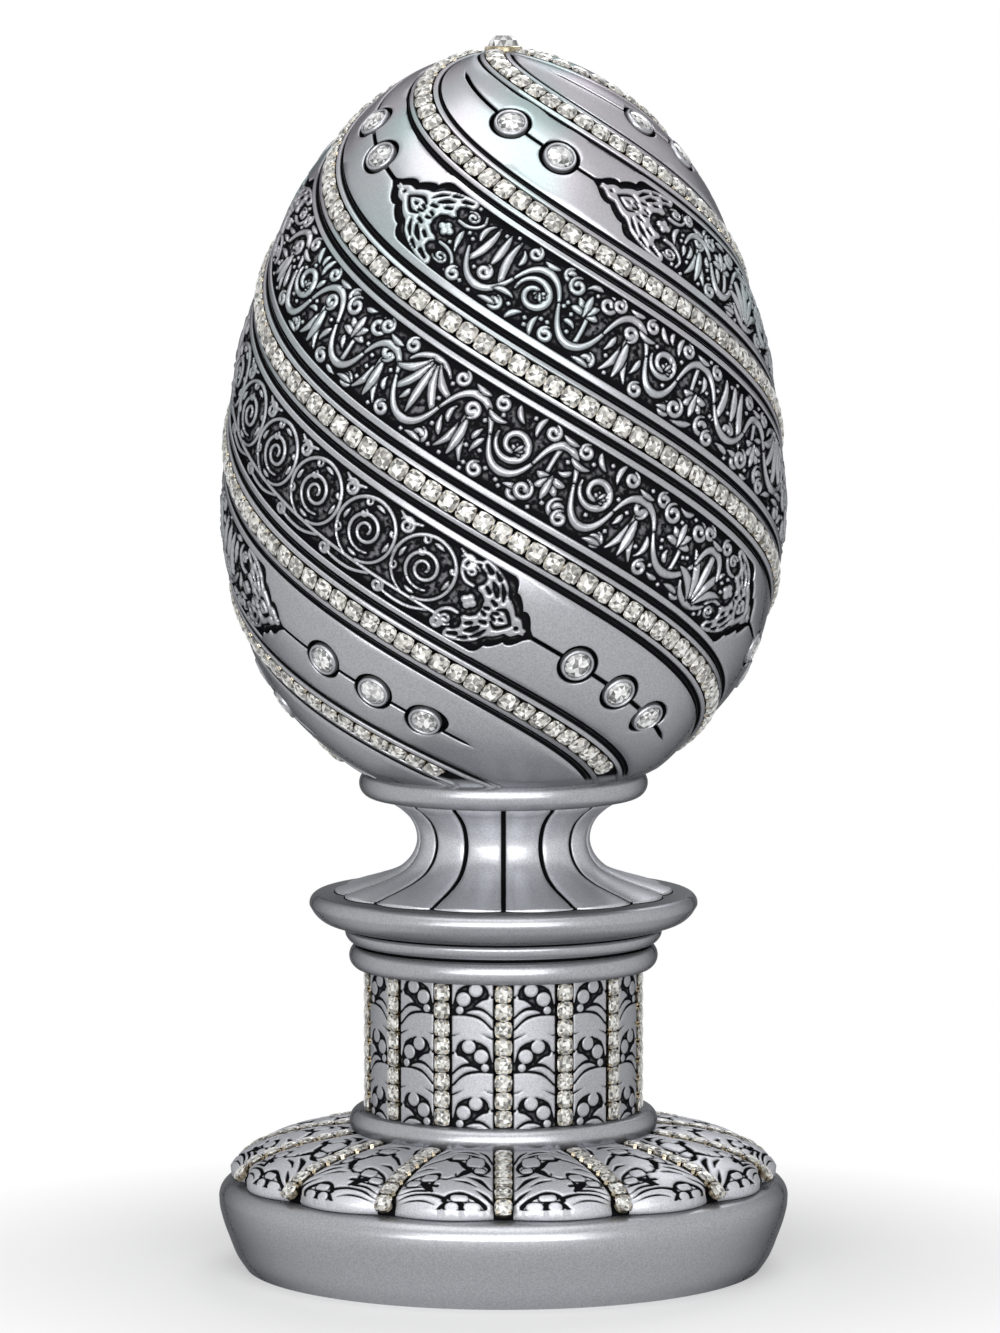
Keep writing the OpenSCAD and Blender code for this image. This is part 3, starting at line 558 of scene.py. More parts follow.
RAIL_FOOT = 2.84
SECTION = np.array([
    (0.0, -1.2, 1), (1.85, -1.2, 1), (1.92, 0.0, 0.5), (2.05, 0.2, 0), (2.68, 0.2, 0), (RAIL_FOOT, 0.02, 0.4),
    (2.93, -0.6, 1), (3.42, -0.6, 1), (3.5, -0.34, 0.42), (3.58, -0.6, 1), (4.08, -0.6, 1), (4.18, -0.06, 0.5),
    (4.32, BAND_RISE, 0)])
LIMITS = np.concatenate([[1], np.linspace(0.84, 0.97, len(SECTION) - 1)])
INNER = np.array([0.15, 0.3, 0.45, 0.6, 0.8])
EDGE = np.array([(0.34, 0.0, 0.0), (0.16, -0.05, 0.0), (0.04, -0.2, 0.3), (0.0, -0.5, 1), (0.0, -1.3, 1)])
SKIN_COLUMNS = len(SECTION) + len(INNER) + len(EDGE)
print("the skin of half a band has", SKIN_COLUMNS, "columns and", len(rows), "rows")

# %% Skin of the bands
def skin_rule(side, band):
    """Columns run from the chain over the rail and groove, then up the band, and last down the edge of its opening."""
    def rule(column, row):
        length = rows[row]
        way = way_at(length)
        wide = at(way, half_band)
        slim = 0.45 + 0.55 * eased((way - 15) / 45)
        def from_chain(i):
            off = SECTION[i, 0]
            off = np.where(off > RAIL_FOOT, RAIL_FOOT + (off - RAIL_FOOT) * slim, off)
            return np.minimum(off, wide * LIMITS[i])
        on_band_top = column >= len(SECTION)
        on_edge = column >= len(SECTION) + len(INNER)
        i = np.minimum(column, len(SECTION) - 1)
        j = np.clip(column - len(SECTION), 0, len(INNER) - 1)
        k = np.clip(column - len(SECTION) - len(INNER), 0, len(EDGE) - 1)
        edge = opening(length)
        open_share = np.minimum(1, edge / 0.2)
        shoulder = wide - from_chain(len(SECTION) - 1)
        room = np.maximum(shoulder - edge, 0) * 0.9
        lip = edge + np.minimum(EDGE[k, 0], room)
        top_lip = edge + np.minimum(EDGE[0, 0], room)
        from_middle = np.where(on_edge, lip, shoulder + (top_lip - shoulder) * INNER[j])
        bulge = BAND_RISE + swell(way, 1 - from_middle / np.maximum(shoulder, 1e-6))
        height = np.where(on_band_top, bulge, SECTION[i, 1]) + np.where(on_edge, EDGE[k, 1], 0) * open_share
        hollow = np.where(on_edge, EDGE[k, 2] * open_share, np.where(on_band_top, 0, SECTION[i, 2]))
        share = np.where(on_band_top, 0, side)
        off = np.where(on_band_top, side * from_middle, -side * from_chain(i))
        return on_band(length, share, off, height * relief_left(way), band), hollow * relief_left(way)
    return rule

for band in range(BANDS):
    name = f"egg_band_{band + 1}"
    skin = joined_grids(name, SKIN_COLUMNS, len(rows), [skin_rule(side, band) for side in (-1, 1)])
    add_piece(name, skin, egg_silver, "egg_shell", crease=50)

# %% [markdown]
# ### Dark core
# On the real egg the floor of every channel and pocket belongs to the casting and is painted black. Here the skin is
# open in those places, so a plain black egg, turned on the axis a little under the surface, closes them from below.

# %% Dark core under the skin
CORE_DEPTH = 1.35
core_ways = np.interp(np.radians(np.linspace(3.5, 163, 90)), steps, down)
core_line = (egg_point(core_ways, 0.0, -CORE_DEPTH) / MM)[:, [0, 2]].tolist()
core_outline = [(0.01, core_line[0][1])] + core_line + [(core_line[-1][0], FOOT_Z), (0.01, FOOT_Z)]
core = turned("egg_core", core_outline, 120)
set_hollow(core, np.ones(len(core.vertices)))
add_piece("egg_core", core, egg_silver, "egg_shell", crease=40)

# %% [markdown]
# ## Stone chains
# Cup chain is sold by the metre: round metal cups a fixed pitch apart, joined by short links, each with four prongs
# bent over its stone. One cup and a few differently cut stones are made once and set out hundreds of times, so they
# have only a few dozen faces. Each stone is turned by its own angle, as they are when a machine drops them in.

# %% One cup
PRONG, PRONG_LEAN = (0.42, 0.62, 0.8), 0.22

def box(bm, size):
    corners = bmesh.ops.create_cube(bm, size=1)["verts"]
    bmesh.ops.scale(bm, verts=corners, vec=Vector(size) * MM)
    return corners

def setting_cup(radius, height, pitch):
    """An open cup with four prongs that lean over its stone, and the link to the next cup."""
    bm = bmesh.new()
    wall = bmesh.ops.create_cone(bm, cap_ends=True, segments=12, radius1=radius * 0.97 * MM, radius2=radius * MM,
                                 depth=height * 0.9 * MM)["verts"]
    bmesh.ops.translate(bm, verts=wall, vec=(0, 0, height * 0.45 * MM))
    top = [face for face in bm.faces if face.normal.z > 0.9]
    bmesh.ops.inset_region(bm, faces=top, thickness=radius * 0.09 * MM, depth=0.03 * MM)
    bmesh.ops.delete(bm, geom=[face for face in bm.faces if abs(face.normal.z) > 0.99], context="FACES")
    for i in range(4):
        prong = box(bm, PRONG)
        bmesh.ops.translate(bm, verts=[v for v in prong if v.co.z > 0], vec=(-PRONG_LEAN * MM, 0, 0))
        reach = Matrix.Translation((radius * 1.06 * MM, 0, height * 0.78 * MM))
        bmesh.ops.transform(bm, verts=prong, matrix=Matrix.Rotation(pi / 4 + i * pi / 2, 4, "Z") @ reach)
    link = box(bm, (pitch - 1.6 * radius, 0.9, 0.3))
    bmesh.ops.translate(bm, verts=link, vec=(pitch / 2 * MM, 0, height * 0.45 * MM))
    return mesh_of(bm, "setting_cup")

CUP_RADIUS, CUP_HEIGHT, CUP_PITCH = 1.76, 1.4, 3.65
SMALL_RADIUS, SMALL_HEIGHT, SMALL_PITCH = 1.6, 1.3, 3.3
spiral_cup = setting_cup(CUP_RADIUS, CUP_HEIGHT, CUP_PITCH)
small_cup = setting_cup(SMALL_RADIUS, SMALL_HEIGHT, SMALL_PITCH)
print("faces of a cup:", len(spiral_cup.polygons))

# %% A few stones
# Painted reflections of the facets: those on top are mostly bright, those on the sides darker.
TOP_REFLECTIONS = [1.0, 0.95, 0.85, 0.7, 0.5, 0.3]
SIDE_REFLECTIONS = [0.9, 0.7, 0.6, 0.45, 0.3, 0.1]
CHAIN_CUTS, SQUARE = 11, 4.0

def cut_stone(radius, girdle, table, sides, squareness=2.0):
    """A faceted crown over a flat back: table, two rows of facets and the girdle. Above 2 its outline grows square."""
    bm = bmesh.new()
    bm.verts.new((0, 0, (table + 0.02 * radius) * MM))
    for count, r, z, lead in ((sides, 0.5, table, 0), (sides, 0.82, girdle + (table - girdle) * 0.62, 0.5),
                              (2 * sides, 1.0, girdle, 0), (sides, 0.9, girdle - 0.25, 0)):
        for i in range(count):
            turn = 2 * pi * (i + lead) / count
            reach = r * radius / (abs(cos(turn)) ** squareness + abs(sin(turn)) ** squareness) ** (1 / squareness)
            bm.verts.new((reach * cos(turn) * MM, reach * sin(turn) * MM, z * MM))
    bmesh.ops.convex_hull(bm, input=bm.verts)
    # Each facet gets a painted reflection, drawn by lot from the top or the side list.
    painted_reflection = bm.faces.layers.float.new("painted_reflection")
    for face in bm.faces:
        on_top = face.calc_center_median().xy.length < 0.6 * radius * MM
        face[painted_reflection] = dice.choice(TOP_REFLECTIONS if on_top else SIDE_REFLECTIONS)
    return mesh_of(bm, "cut_stone")

spiral_stones = [cut_stone(CUP_RADIUS, 1.32, 1.9, 8, SQUARE) for i in range(CHAIN_CUTS)]
small_stones = [cut_stone(SMALL_RADIUS, 1.2, 1.62, 8, SQUARE) for i in range(CHAIN_CUTS)]
print("faces of a stone:", len(spiral_stones[0].polygons))

# %% Laying a chain
def quarter_turn():
    """One of the four ways round in which a stone drops into its cup, and a little off."""
    return dice.randrange(4) * pi / 2 + dice.uniform(-0.06, 0.06)

def lay_chain(seats, cup, stones, cup_piece, cup_node, stone_piece, stone_node):
    in_cups = spun(seats, quarter_turn)
    add_piece(cup_piece, set_out(cup_piece, [cup], seats), champagne_plating, cup_node, crease=40)
    add_piece(stone_piece, set_out(stone_piece, stones, in_cups), foiled_stone, stone_node)

# %% Chains down the egg
BED = 0.08
EGG_CHANNEL, PEDESTAL_CHANNEL = 1.2, 1.0
FIRST_CUP, OVER_FOOT, LAST_GAP = 6.0, 7.2, 0.85
chain_stop = float(np.interp(pi - np.arccos((EGG_Z - FOOT_Z - OVER_FOOT) / EGG_DROP), steps, down)) - LAST_GAP
chain_ways = []
way = FIRST_CUP
while way <= chain_stop:
    chain_ways.append(way)
    way += CUP_PITCH / at(way + CUP_PITCH / at(way, slant) / 2, slant)

def seat_on_egg(way, angle, height):
    point = egg_point(way, angle, height)
    ahead = egg_point(way + 0.05, angle + TURN * 0.05, height) - point
    return seat_on(point, ahead, egg_point(way, angle, height + 1) - point)

for chain in range(BANDS):
    seats = [seat_on_egg(way, chain_angle(way, chain), BED - EGG_CHANNEL) for way in chain_ways]
    lay_chain(seats, spiral_cup, spiral_stones, f"cup_chain_{chain + 1}", f"spiral_chain_{chain + 1}",
              f"chain_stones_{chain + 1}", f"spiral_stones_{chain + 1}")
print("stones in one chain:", len(chain_ways))

# %% Chains on the drum
COLUMNS = 14
DRUM_Z, DRUM_H, DRUM_R = 29.4, 26.8, 25.9
DRUM_CUPS = 8
column_angles = [2 * pi * i / COLUMNS - pi / 2 for i in range(COLUMNS)]
seats = []
for turn in column_angles:
    out = Vector((cos(turn), sin(turn), 0))
    for j in range(DRUM_CUPS):
        z = DRUM_Z + DRUM_H / 2 + (j - (DRUM_CUPS - 1) / 2) * SMALL_PITCH
        seats.append(seat_on((out * (DRUM_R - PEDESTAL_CHANNEL) + Vector((0, 0, z))) * MM, (0, 0, 1), out))
lay_chain(seats, small_cup, small_stones, "drum_cup_chains", "drum_chains", "drum_chain_stones", "drum_stones")

# %% Chains on the skirt
SKIRT_R, SKIRT_H, SKIRT_Z = 50.8, 10.6, 16.4
DOME_POWER = 2.3
BEAD_MIDDLE_R, BEAD_R = 26.3, 2.5
SKIRT_CUPS, SKIRT_PITCH = 7, 3.45
dome_turns = np.radians(np.linspace(89, 2, 1741))
dome_r = SKIRT_R * np.cos(dome_turns) ** (2 / DOME_POWER)
dome_z = SKIRT_Z + SKIRT_H * np.sin(dome_turns) ** (2 / DOME_POWER)
dome_way = np.concatenate([[0], np.cumsum(np.hypot(np.diff(dome_r), np.diff(dome_z)))])
dome_slope = np.arctan2(-np.gradient(dome_z), np.gradient(dome_r))
chain_top = float(np.interp(BEAD_MIDDLE_R + BEAD_R + 0.2, dome_r, dome_way))

def dome_point(way, angle, height):
    tilt = np.interp(way, dome_way, dome_slope)
    r = np.interp(way, dome_way, dome_r) + height * np.sin(tilt)
    return spot(r, angle, np.interp(way, dome_way, dome_z) + height * np.cos(tilt))

seats = []
for turn in column_angles:
    for j in range(SKIRT_CUPS):
        way = chain_top + (j + 0.5) * SKIRT_PITCH
        point = dome_point(way, turn, BED - PEDESTAL_CHANNEL)
        ahead = dome_point(way - 0.1, turn, BED - PEDESTAL_CHANNEL) - point
        seats.append(seat_on(point, ahead, dome_point(way, turn, BED) - point))
lay_chain(seats, small_cup, small_stones, "skirt_cup_chains", "skirt_chains", "skirt_chain_stones", "skirt_stones")

# %% [markdown]
# ### Single stones and the crown
# Five larger stones sit along the middle of each band, each in a turned silver bezel that stands in a black pocket.
# A last, taller stone crowns the egg. The rings are turned, and the stones are cut as the small ones are, but finer.

# %% Bezels and their stones
SINGLE_RADIUS, SINGLE_CUTS = 2.42, 7
BEZEL_DEPTH = 1.0
bezel_ring = turned("bezel_ring", [(SINGLE_RADIUS, 0.3), (3.0, 0.0), (3.1, 0.12), (3.1, 0.9), (3.02, 1.14),
                                   (2.84, 1.28), (2.62, 1.26), (2.48, 1.12), (SINGLE_RADIUS, 0.9)], 32)
single_stones = [cut_stone(SINGLE_RADIUS, 1.0, 1.58, 10) for i in range(SINGLE_CUTS)]
for name, ways in (("upper", UPPER_STONES), ("lower", LOWER_STONES)):
    seats = [seat_on_egg(way, chain_angle(way, band + 0.5), float(swell(way, 1)) - BEZEL_DEPTH)
             for band in range(BANDS) for way in ways]
    stones = set_out("set_stones", single_stones, spun(seats, lambda: dice.uniform(0, 2 * pi)))
    add_piece(f"{name}_bezel_rings", set_out("bezel_rings", [bezel_ring], seats), smooth_silver,
              f"{name}_bezels", crease=35)
    add_piece(f"{name}_set_stones", stones, clear_stone, f"{name}_stones")

# %% Crown
CROWN_HOLE, CROWN_DEPTH = 3.7, 1.2
crown_z = EGG_Z + EGG_RISE * sqrt(1 - (CROWN_HOLE / EGG_RADIUS) ** 2) - CROWN_DEPTH + BED
crown_seat = [Matrix.Translation((0, 0, crown_z * MM))]
crown_ring = turned("crown_ring", [(2.9, 0.2), (3.3, 0.0), (3.5, 0.15), (3.5, 1.8), (3.4, 2.1), (3.2, 2.2),
                                   (3.0, 2.15), (2.9, 1.9)], 48)
add_piece("crown_ring", set_out("crown_ring", [crown_ring], crown_seat), champagne_plating, "crown_cup",
          crease=35)
crown_cut = cut_stone(3.0, 2.0, 4.15, 12)
add_piece("crown_cut_stone", set_out("crown_cut_stone", [crown_cut], crown_seat), clear_stone, "crown_stone")

# %% [markdown]
# ## The pedestal's plain tiers
# Rim, collar, bead rings and plinth are round, so each is an outline turned on the axis. Their edges are drawn as
# fine arcs, since a round edge is what gives satin silver its long bright line.

# %% Turned tiers
BORE_R = 22.2

def bead(z):
    return arc(BEAD_MIDDLE_R, z + 2.1, BEAD_R, -57, 57, 25) + [(BORE_R, z + 4.2), (BORE_R, z)]

rim = arc(RIM_RADIUS, RIM_Z, RIM_BEAD, -150, 118, 48)
collar_step = smooth_line([(28.0, 60.75), (28.75, 61.2), (29.3, 61.9), (29.55, 62.6), (29.5, 63.1), (29.3, 63.35)],
                          12).tolist()
collar_under = smooth_line([(29.35, 63.75), (30.3, 63.9), (32.0, 64.35), (33.9, 65.1), (35.25, 66.3), (35.95, 67.4)],
                           16).tolist()
collar = ([(BORE_R, 60.4), (27.0, 60.4), (26.9, 60.7)] + collar_step + [(28.8, 63.45), (28.8, 63.65)]
          + collar_under + arc(34.3, 68.1, 1.9, -10, 90, 16) + [(BORE_R, 70.0)])
side = smooth_line([(48.3, 0.0), (49.87, 2.3), (51.44, 6.07), (52.6, 9.4), (53.1, 11.6), (53.2, 13.2)], 20).tolist()
plinth = [(42.2, 1.2), (42.2, 0.0), (47.9, 0.0)] + side + arc(50.0, 13.2, 3.2, 4, 90, 18) + [(20.2, 16.4), (20.2, 14.0)]
for name, outline, node, joints in (
        ("rim_bead", rim, "egg_cup", [(93.05, 94, 23.4)]),
        ("collar_disc", collar, "collar", [(60, 60.9, 28.3), (63.4, 63.7, 29.0)]),
        ("upper_bead_ring", bead(56.2), "upper_ring", [(56, 56.3, 27.5), (60.3, 60.5, 27.7)]),
        ("lower_bead_ring", bead(25.2), "lower_ring", [(25, 25.3, 27.7), (29.3, 29.5, 27.5)]),
        ("plinth_base", plinth, "plinth", [(16.3, 16.5, 49.5)])):
    tier_mesh = turned(name, outline, 192)
    blacken_joints(tier_mesh, joints)
    add_piece(name, tier_mesh, antique_plain, node, crease=38)

# %% [markdown]
# ## The petalled neck
# The egg cup's neck is a ring of fourteen petals that flare over the collar. One flat grid per petal is bent round the
# neck's outline. Its outer columns fall into a narrow black groove, and its lower rows follow the rounded tip and fold
# over its edge.

# %% Petals
PETALS = 14
NECK_R, PETAL_REACH, PETAL_TIP, COLLAR_TOP = 16.1, 31.3, 11.0, 70.0
PETAL_BOW = 0.35
neck_line = smooth_line([(21.9, 89.0), (21.3, 87.3), (19.02, 85.55), (17.23, 83.75), (16.34, 81.83), (NECK_R, 79.9),
                         (16.86, 77.4), (18.53, 75.4), (21.57, 73.7), (25.22, 72.45), (29.02, 71.35),
                         (PETAL_REACH, 70.62)], 64)
neck_slope = np.gradient(neck_line, axis=0)
neck_out = np.stack([-neck_slope[:, 1], neck_slope[:, 0]], axis=1) / np.hypot(*neck_slope.T)[:, None]
waist_row = int(np.argmin(neck_line[:, 0]))
GROOVE = np.array([(0.0, 0.75, 1), (0.34, 0.75, 1), (0.46, 0.12, 0.5), (0.58, 0.0, 0)])
PETAL_SHARES = np.array([0, 0.2, 0.4, 0.6, 0.8, 1.0])
PETAL_COLUMNS = 2 * (len(GROOVE) + len(PETAL_SHARES) - 1) - 1
FOLD = np.array([(0.10, 70.42, 0), (0.08, 70.15, 0.2), (0.16, 70.04, 1), (0.36, 70.03, 1), (0.38, 69.9, 1)])

def petal_rule(petal):
    """Columns run from one groove over the petal to the next. Rows run down the neck, then fold over the tip."""
    def rule(column, row):
        half = pi / PETALS
        from_edge = np.minimum(column, PETAL_COLUMNS - 1 - column)
        side = np.where(column <= PETAL_COLUMNS // 2, -1, 1)
        line = np.minimum(row, len(neck_line) - 1)
        r, z = neck_line[line].T
        groove = GROOVE[np.minimum(from_edge, len(GROOVE) - 1)]
        inner = PETAL_SHARES[np.clip(from_edge - len(GROOVE) + 1, 0, len(PETAL_SHARES) - 1)]
        edge_turn = groove[:, 0] / r
        away = half - (edge_turn + (half - edge_turn) * inner)
        tip = (PETAL_REACH - PETAL_TIP) * np.cos(away) + np.sqrt(
            np.maximum(0, PETAL_TIP ** 2 - ((PETAL_REACH - PETAL_TIP) * np.sin(away)) ** 2))
        flare = np.where(line > waist_row, (r - NECK_R) / (PETAL_REACH - NECK_R), 0)
        lift = -groove[:, 1] - PETAL_BOW * (away / half) ** 2
        fold = FOLD[np.clip(row - len(neck_line), 0, len(FOLD) - 1)]
        folded = row >= len(neck_line)
        r = np.where(folded, tip + fold[:, 0], r + flare * (tip - PETAL_REACH) + lift * neck_out[line, 0])
        z = np.where(folded, fold[:, 1], np.maximum(z + lift * neck_out[line, 1], COLLAR_TOP + 0.1))
        hollow = np.where(folded, np.maximum(groove[:, 2], fold[:, 2]), groove[:, 2])
        return spot(r, 2 * pi * petal / PETALS - pi / 2 + half + side * away, z), hollow
    return rule

neck = joined_grids("petal_neck", PETAL_COLUMNS, len(neck_line) + len(FOLD), map(petal_rule, range(PETALS)), rise=0.4)
add_piece("petal_neck", neck, lit_neck_silver, "egg_cup", crease=50)

# %% [markdown]
# ## Carving
# The drum, the skirt and the bands carry flat carving: raised silver shapes with steep sides over a rough black
# ground. Cutting each leaf as a solid would take thousands of curved faces that cross each other. Instead the shapes
# are drawn once on a flat sheet, where every point knows how far it lies inside the nearest shape. A grid laid on the
# tier is then raised where the sheet is inside a shape, and the same distance tells silver from black.

# %% The drawing sheet
REACH, MARGIN = 1.3, 0.6
BRUSH_STEP, FAR, TINY = 0.14, 9.0, 1e-12

class Drawing:
    """Raised shapes on a flat sheet, kept as the distance inside the nearest shape, in millimetres."""

    def __init__(self, width, height, cell=0.12):
        self.cell = cell
        self.xs = np.arange(-MARGIN, width + MARGIN, cell)
        self.ys = np.arange(-MARGIN, height + MARGIN, cell)
        self.inside = np.full((len(self.ys), len(self.xs)), -REACH)

    def patch(self, low_x, high_x, low_y, high_y):
        """The part of the sheet that a shape can change, and the places of its points."""
        i = slice(*np.clip(np.searchsorted(self.ys, (low_y - REACH, high_y + REACH)) + (0, 1), 0, len(self.ys)))
        j = slice(*np.clip(np.searchsorted(self.xs, (low_x - REACH, high_x + REACH)) + (0, 1), 0, len(self.xs)))
        x, y = np.meshgrid(self.xs[j], self.ys[i])
        return (i, j), x, y

    def stroke(self, path, radii, cut=False):
        """A line of changing width through the points of path. With cut it is taken away instead."""
        path = np.array(path, dtype=float)
        size = np.hypot(*np.diff(path, axis=0).T).sum() if len(path) > 1 else 0
        count = max(2, ceil(size / BRUSH_STEP)) if size else 1
        line = smooth_line(path, count) if len(path) > 2 else np.linspace(path[0], path[-1], count)
        widths = np.interp(np.linspace(0, 1, count), np.linspace(0, 1, len(radii)), radii)
        for (px, py), r in zip(line, widths):
            where, x, y = self.patch(px - r, px + r, py - r, py + r)
            depth = r - np.hypot(x - px, y - py)
            old = self.inside[where]
            self.inside[where] = np.minimum(old, -depth) if cut else np.maximum(old, depth)

    def leaf(self, outline, thinned=0.0):
        """A flat shape with straight edges between the points of its outline, made narrower all round by thinned."""
        outline = np.array(outline, dtype=float)
        where, x, y = self.patch(outline[:, 0].min(), outline[:, 0].max(), outline[:, 1].min(), outline[:, 1].max())
        near = np.full(x.shape, FAR)
        within = np.zeros(x.shape, dtype=bool)
        for (ax, ay), (bx, by) in zip(outline, np.roll(outline, -1, axis=0)):
            dx, dy = bx - ax, by - ay
            t = np.clip(((x - ax) * dx + (y - ay) * dy) / (dx * dx + dy * dy + TINY), 0, 1)
            near = np.minimum(near, np.hypot(x - ax - t * dx, y - ay - t * dy))
            within ^= ((ay > y) != (by > y)) & (x < dx * (y - ay) / (dy if dy else TINY) + ax)
        self.inside[where] = np.maximum(self.inside[where], np.where(within, near, -near) - thinned)

    def read(self, x, y):
        """The distance at any place, blended from the four points round it."""
        fx = np.clip((x - self.xs[0]) / self.cell, 0, len(self.xs) - 1.001)
        fy = np.clip((y - self.ys[0]) / self.cell, 0, len(self.ys) - 1.001)
        j, i = fx.astype(int), fy.astype(int)
        u, v = fx - j, fy - i
        m = self.inside
        return ((m[i, j] * (1 - u) + m[i, j + 1] * u) * (1 - v) + (m[i + 1, j] * (1 - u) + m[i + 1, j + 1] * u) * v)

WALL, CROWN_WIDTH = 0.3, 0.7
SILVER_FADE, GROUND_FADE = 0.4, 0.5

def raised(inside, crown=0):
    """Share of the full height, and hollow, for a distance inside a shape. Far from any shape hollow rises to 2.
    The wall between ground and silver is WALL wide, and crown is the share of the height that is rounded."""
    height = eased((inside + WALL / 2) / WALL) * (1 - crown) + crown * eased(inside / CROWN_WIDTH)
    hollow = np.clip(0.5 - inside / SILVER_FADE, 0, 1) + np.clip((-inside - SILVER_FADE) / GROUND_FADE, 0, 1)
    return height, hollow

print("the sheet sees", REACH, "mm round each shape")

# %% [markdown]
# ### Leaves on the drum
# Each panel of the drum carries two and a half tiers of the same curled leaves with three berries. One tier is
# drawn on a small sheet and then read again for every panel, turned over left for right from one to the next, as a
# carver repeats one pattern. Between two panels lies the channel of a chain, so a panel's grid starts and ends in one.

# %% One tier of leaves and berries
LEAF_W, LEAF_H = 7.6, 10.5
tier = Drawing(LEAF_W, LEAF_H, cell=0.06)
for middle, radius in (((4.44, 9.27), 1.25), ((2.18, 7.54), 1.3), ((1.48, 5.47), 0.72)):
    tier.stroke([middle], [radius])
for outline in (
        [(-1, 6.5), (-1, 11.5), (3.4, 11.5), (3.2, 10.32), (2.2, 10.02), (1.2, 9.37), (0.72, 8.52), (0.45, 7.47),
         (0.2, 6.5)],
        [(9, 11.5), (5.3, 11.5), (5.5, 10.47), (6.2, 10.02), (6.65, 9.37), (6.8, 8.67), (7.2, 8.27), (9, 8.2)],
        [(9, 7.9), (7.3, 7.75), (6.95, 8.45), (6.6, 7.6), (5.6, 7.35), (4.9, 6.85), (4.3, 6.25), (5.0, 6.2),
         (5.8, 5.9), (6.6, 5.3), (7.3, 4.6), (9, 3.6)],
        [(9, 3.0), (7.4, 4.0), (6.5, 4.9), (5.6, 5.45), (5.0, 5.6), (4.0, 5.6), (3.2, 5.35), (2.5, 4.95),
         (3.6, 4.85), (4.4, 4.7), (5.2, 4.4), (6.0, 3.8), (6.8, 3.0), (7.4, 2.35), (9, 1.5)],
        [(-1, -1), (9, -1), (9, 0.9), (7.1, 2.1), (6.3, 3.0), (5.6, 3.6), (5.0, 3.95), (4.0, 4.3), (2.6, 4.5),
         (1.2, 4.5), (-1, 4.3)]):
    tier.leaf(outline)
tier.stroke([(7.7, 0.2), (6.5, 0.75), (5.4, 1.2)], [0.17, 0.13, 0.02], cut=True)
tier.stroke([(-0.2, 0.75), (0.8, 0.9), (1.5, 1.2)], [0.14, 0.1, 0.02], cut=True)

def leafy(x_share, y):
    """Distance inside the leaves at a share of a panel's width and a place up it."""
    number = np.floor(y / LEAF_H)
    x = np.where(number.astype(int) % 2 == 0, x_share, 1 - x_share) * LEAF_W
    return tier.read(x, (y / LEAF_H - number) * LEAF_H)

print("silver share of a tier:", round(float((tier.inside > 0).mean()), 2))

# %% Drum panels
CHANNEL_HALF = 1.75
CHANNEL_EDGE = np.array([(0.0, -1.0, 1), (CHANNEL_HALF, -1.0, 1), (CHANNEL_HALF + 0.08, -0.5, 1)])
PANEL_TURN = 2 * pi / COLUMNS
DRUM_INNER, DRUM_ROWS, DRUM_RELIEF = 40, 120, 0.3

def across_panel(column, inner, r, panel):
    """The share of a panel's width and the angle of each column, and the height and hollow of those in a channel."""
    from_end = np.minimum(column, 2 * len(CHANNEL_EDGE) + inner - 1 - column)
    off, height, hollow = CHANNEL_EDGE[np.minimum(from_end, len(CHANNEL_EDGE) - 1)].T
    x = np.clip((column - len(CHANNEL_EDGE)) / (inner - 1), 0, 1)
    first = (CHANNEL_HALF + 0.12) / r
    in_channel = from_end < len(CHANNEL_EDGE)
    turn = np.where(in_channel, np.where(x > 0, PANEL_TURN - off / r, off / r), first + (PANEL_TURN - 2 * first) * x)
    return x, PANEL_TURN * panel - pi / 2 + turn, in_channel, height, hollow

def drum_rule(panel):
    def rule(column, row):
        up_drum = row / (DRUM_ROWS - 1) * DRUM_H
        x, angle, in_channel, floor_height, black = across_panel(column, DRUM_INNER, DRUM_R, panel)
        inside = leafy(x if panel % 2 else 1 - x, up_drum + 3 * LEAF_H - DRUM_H)
        up, hollow = raised(np.minimum(inside, np.minimum(x, 1 - x) * 8 - 0.02))
        r = DRUM_R + np.where(in_channel, floor_height, -DRUM_RELIEF + DRUM_RELIEF * up)
        return spot(r, angle, DRUM_Z + up_drum), np.where(in_channel, black, hollow)
    return rule

drum_skin = joined_grids("drum_panels", 2 * len(CHANNEL_EDGE) + DRUM_INNER, DRUM_ROWS, map(drum_rule, range(COLUMNS)))
add_piece("drum_panels", drum_skin, carved_silver, "drum", crease=60)

# %% [markdown]
# ### Leaves on the skirt
# The skirt is so flat that from the front its leaves are seen very short. Their shapes were taken from that view, so
# the sheet is drawn as the panel looks from the front, and each row of the grid reads it at the height at which that
# row is seen. The leaves are one silver ground with dark lines cut into it, and the berries are raised again last.

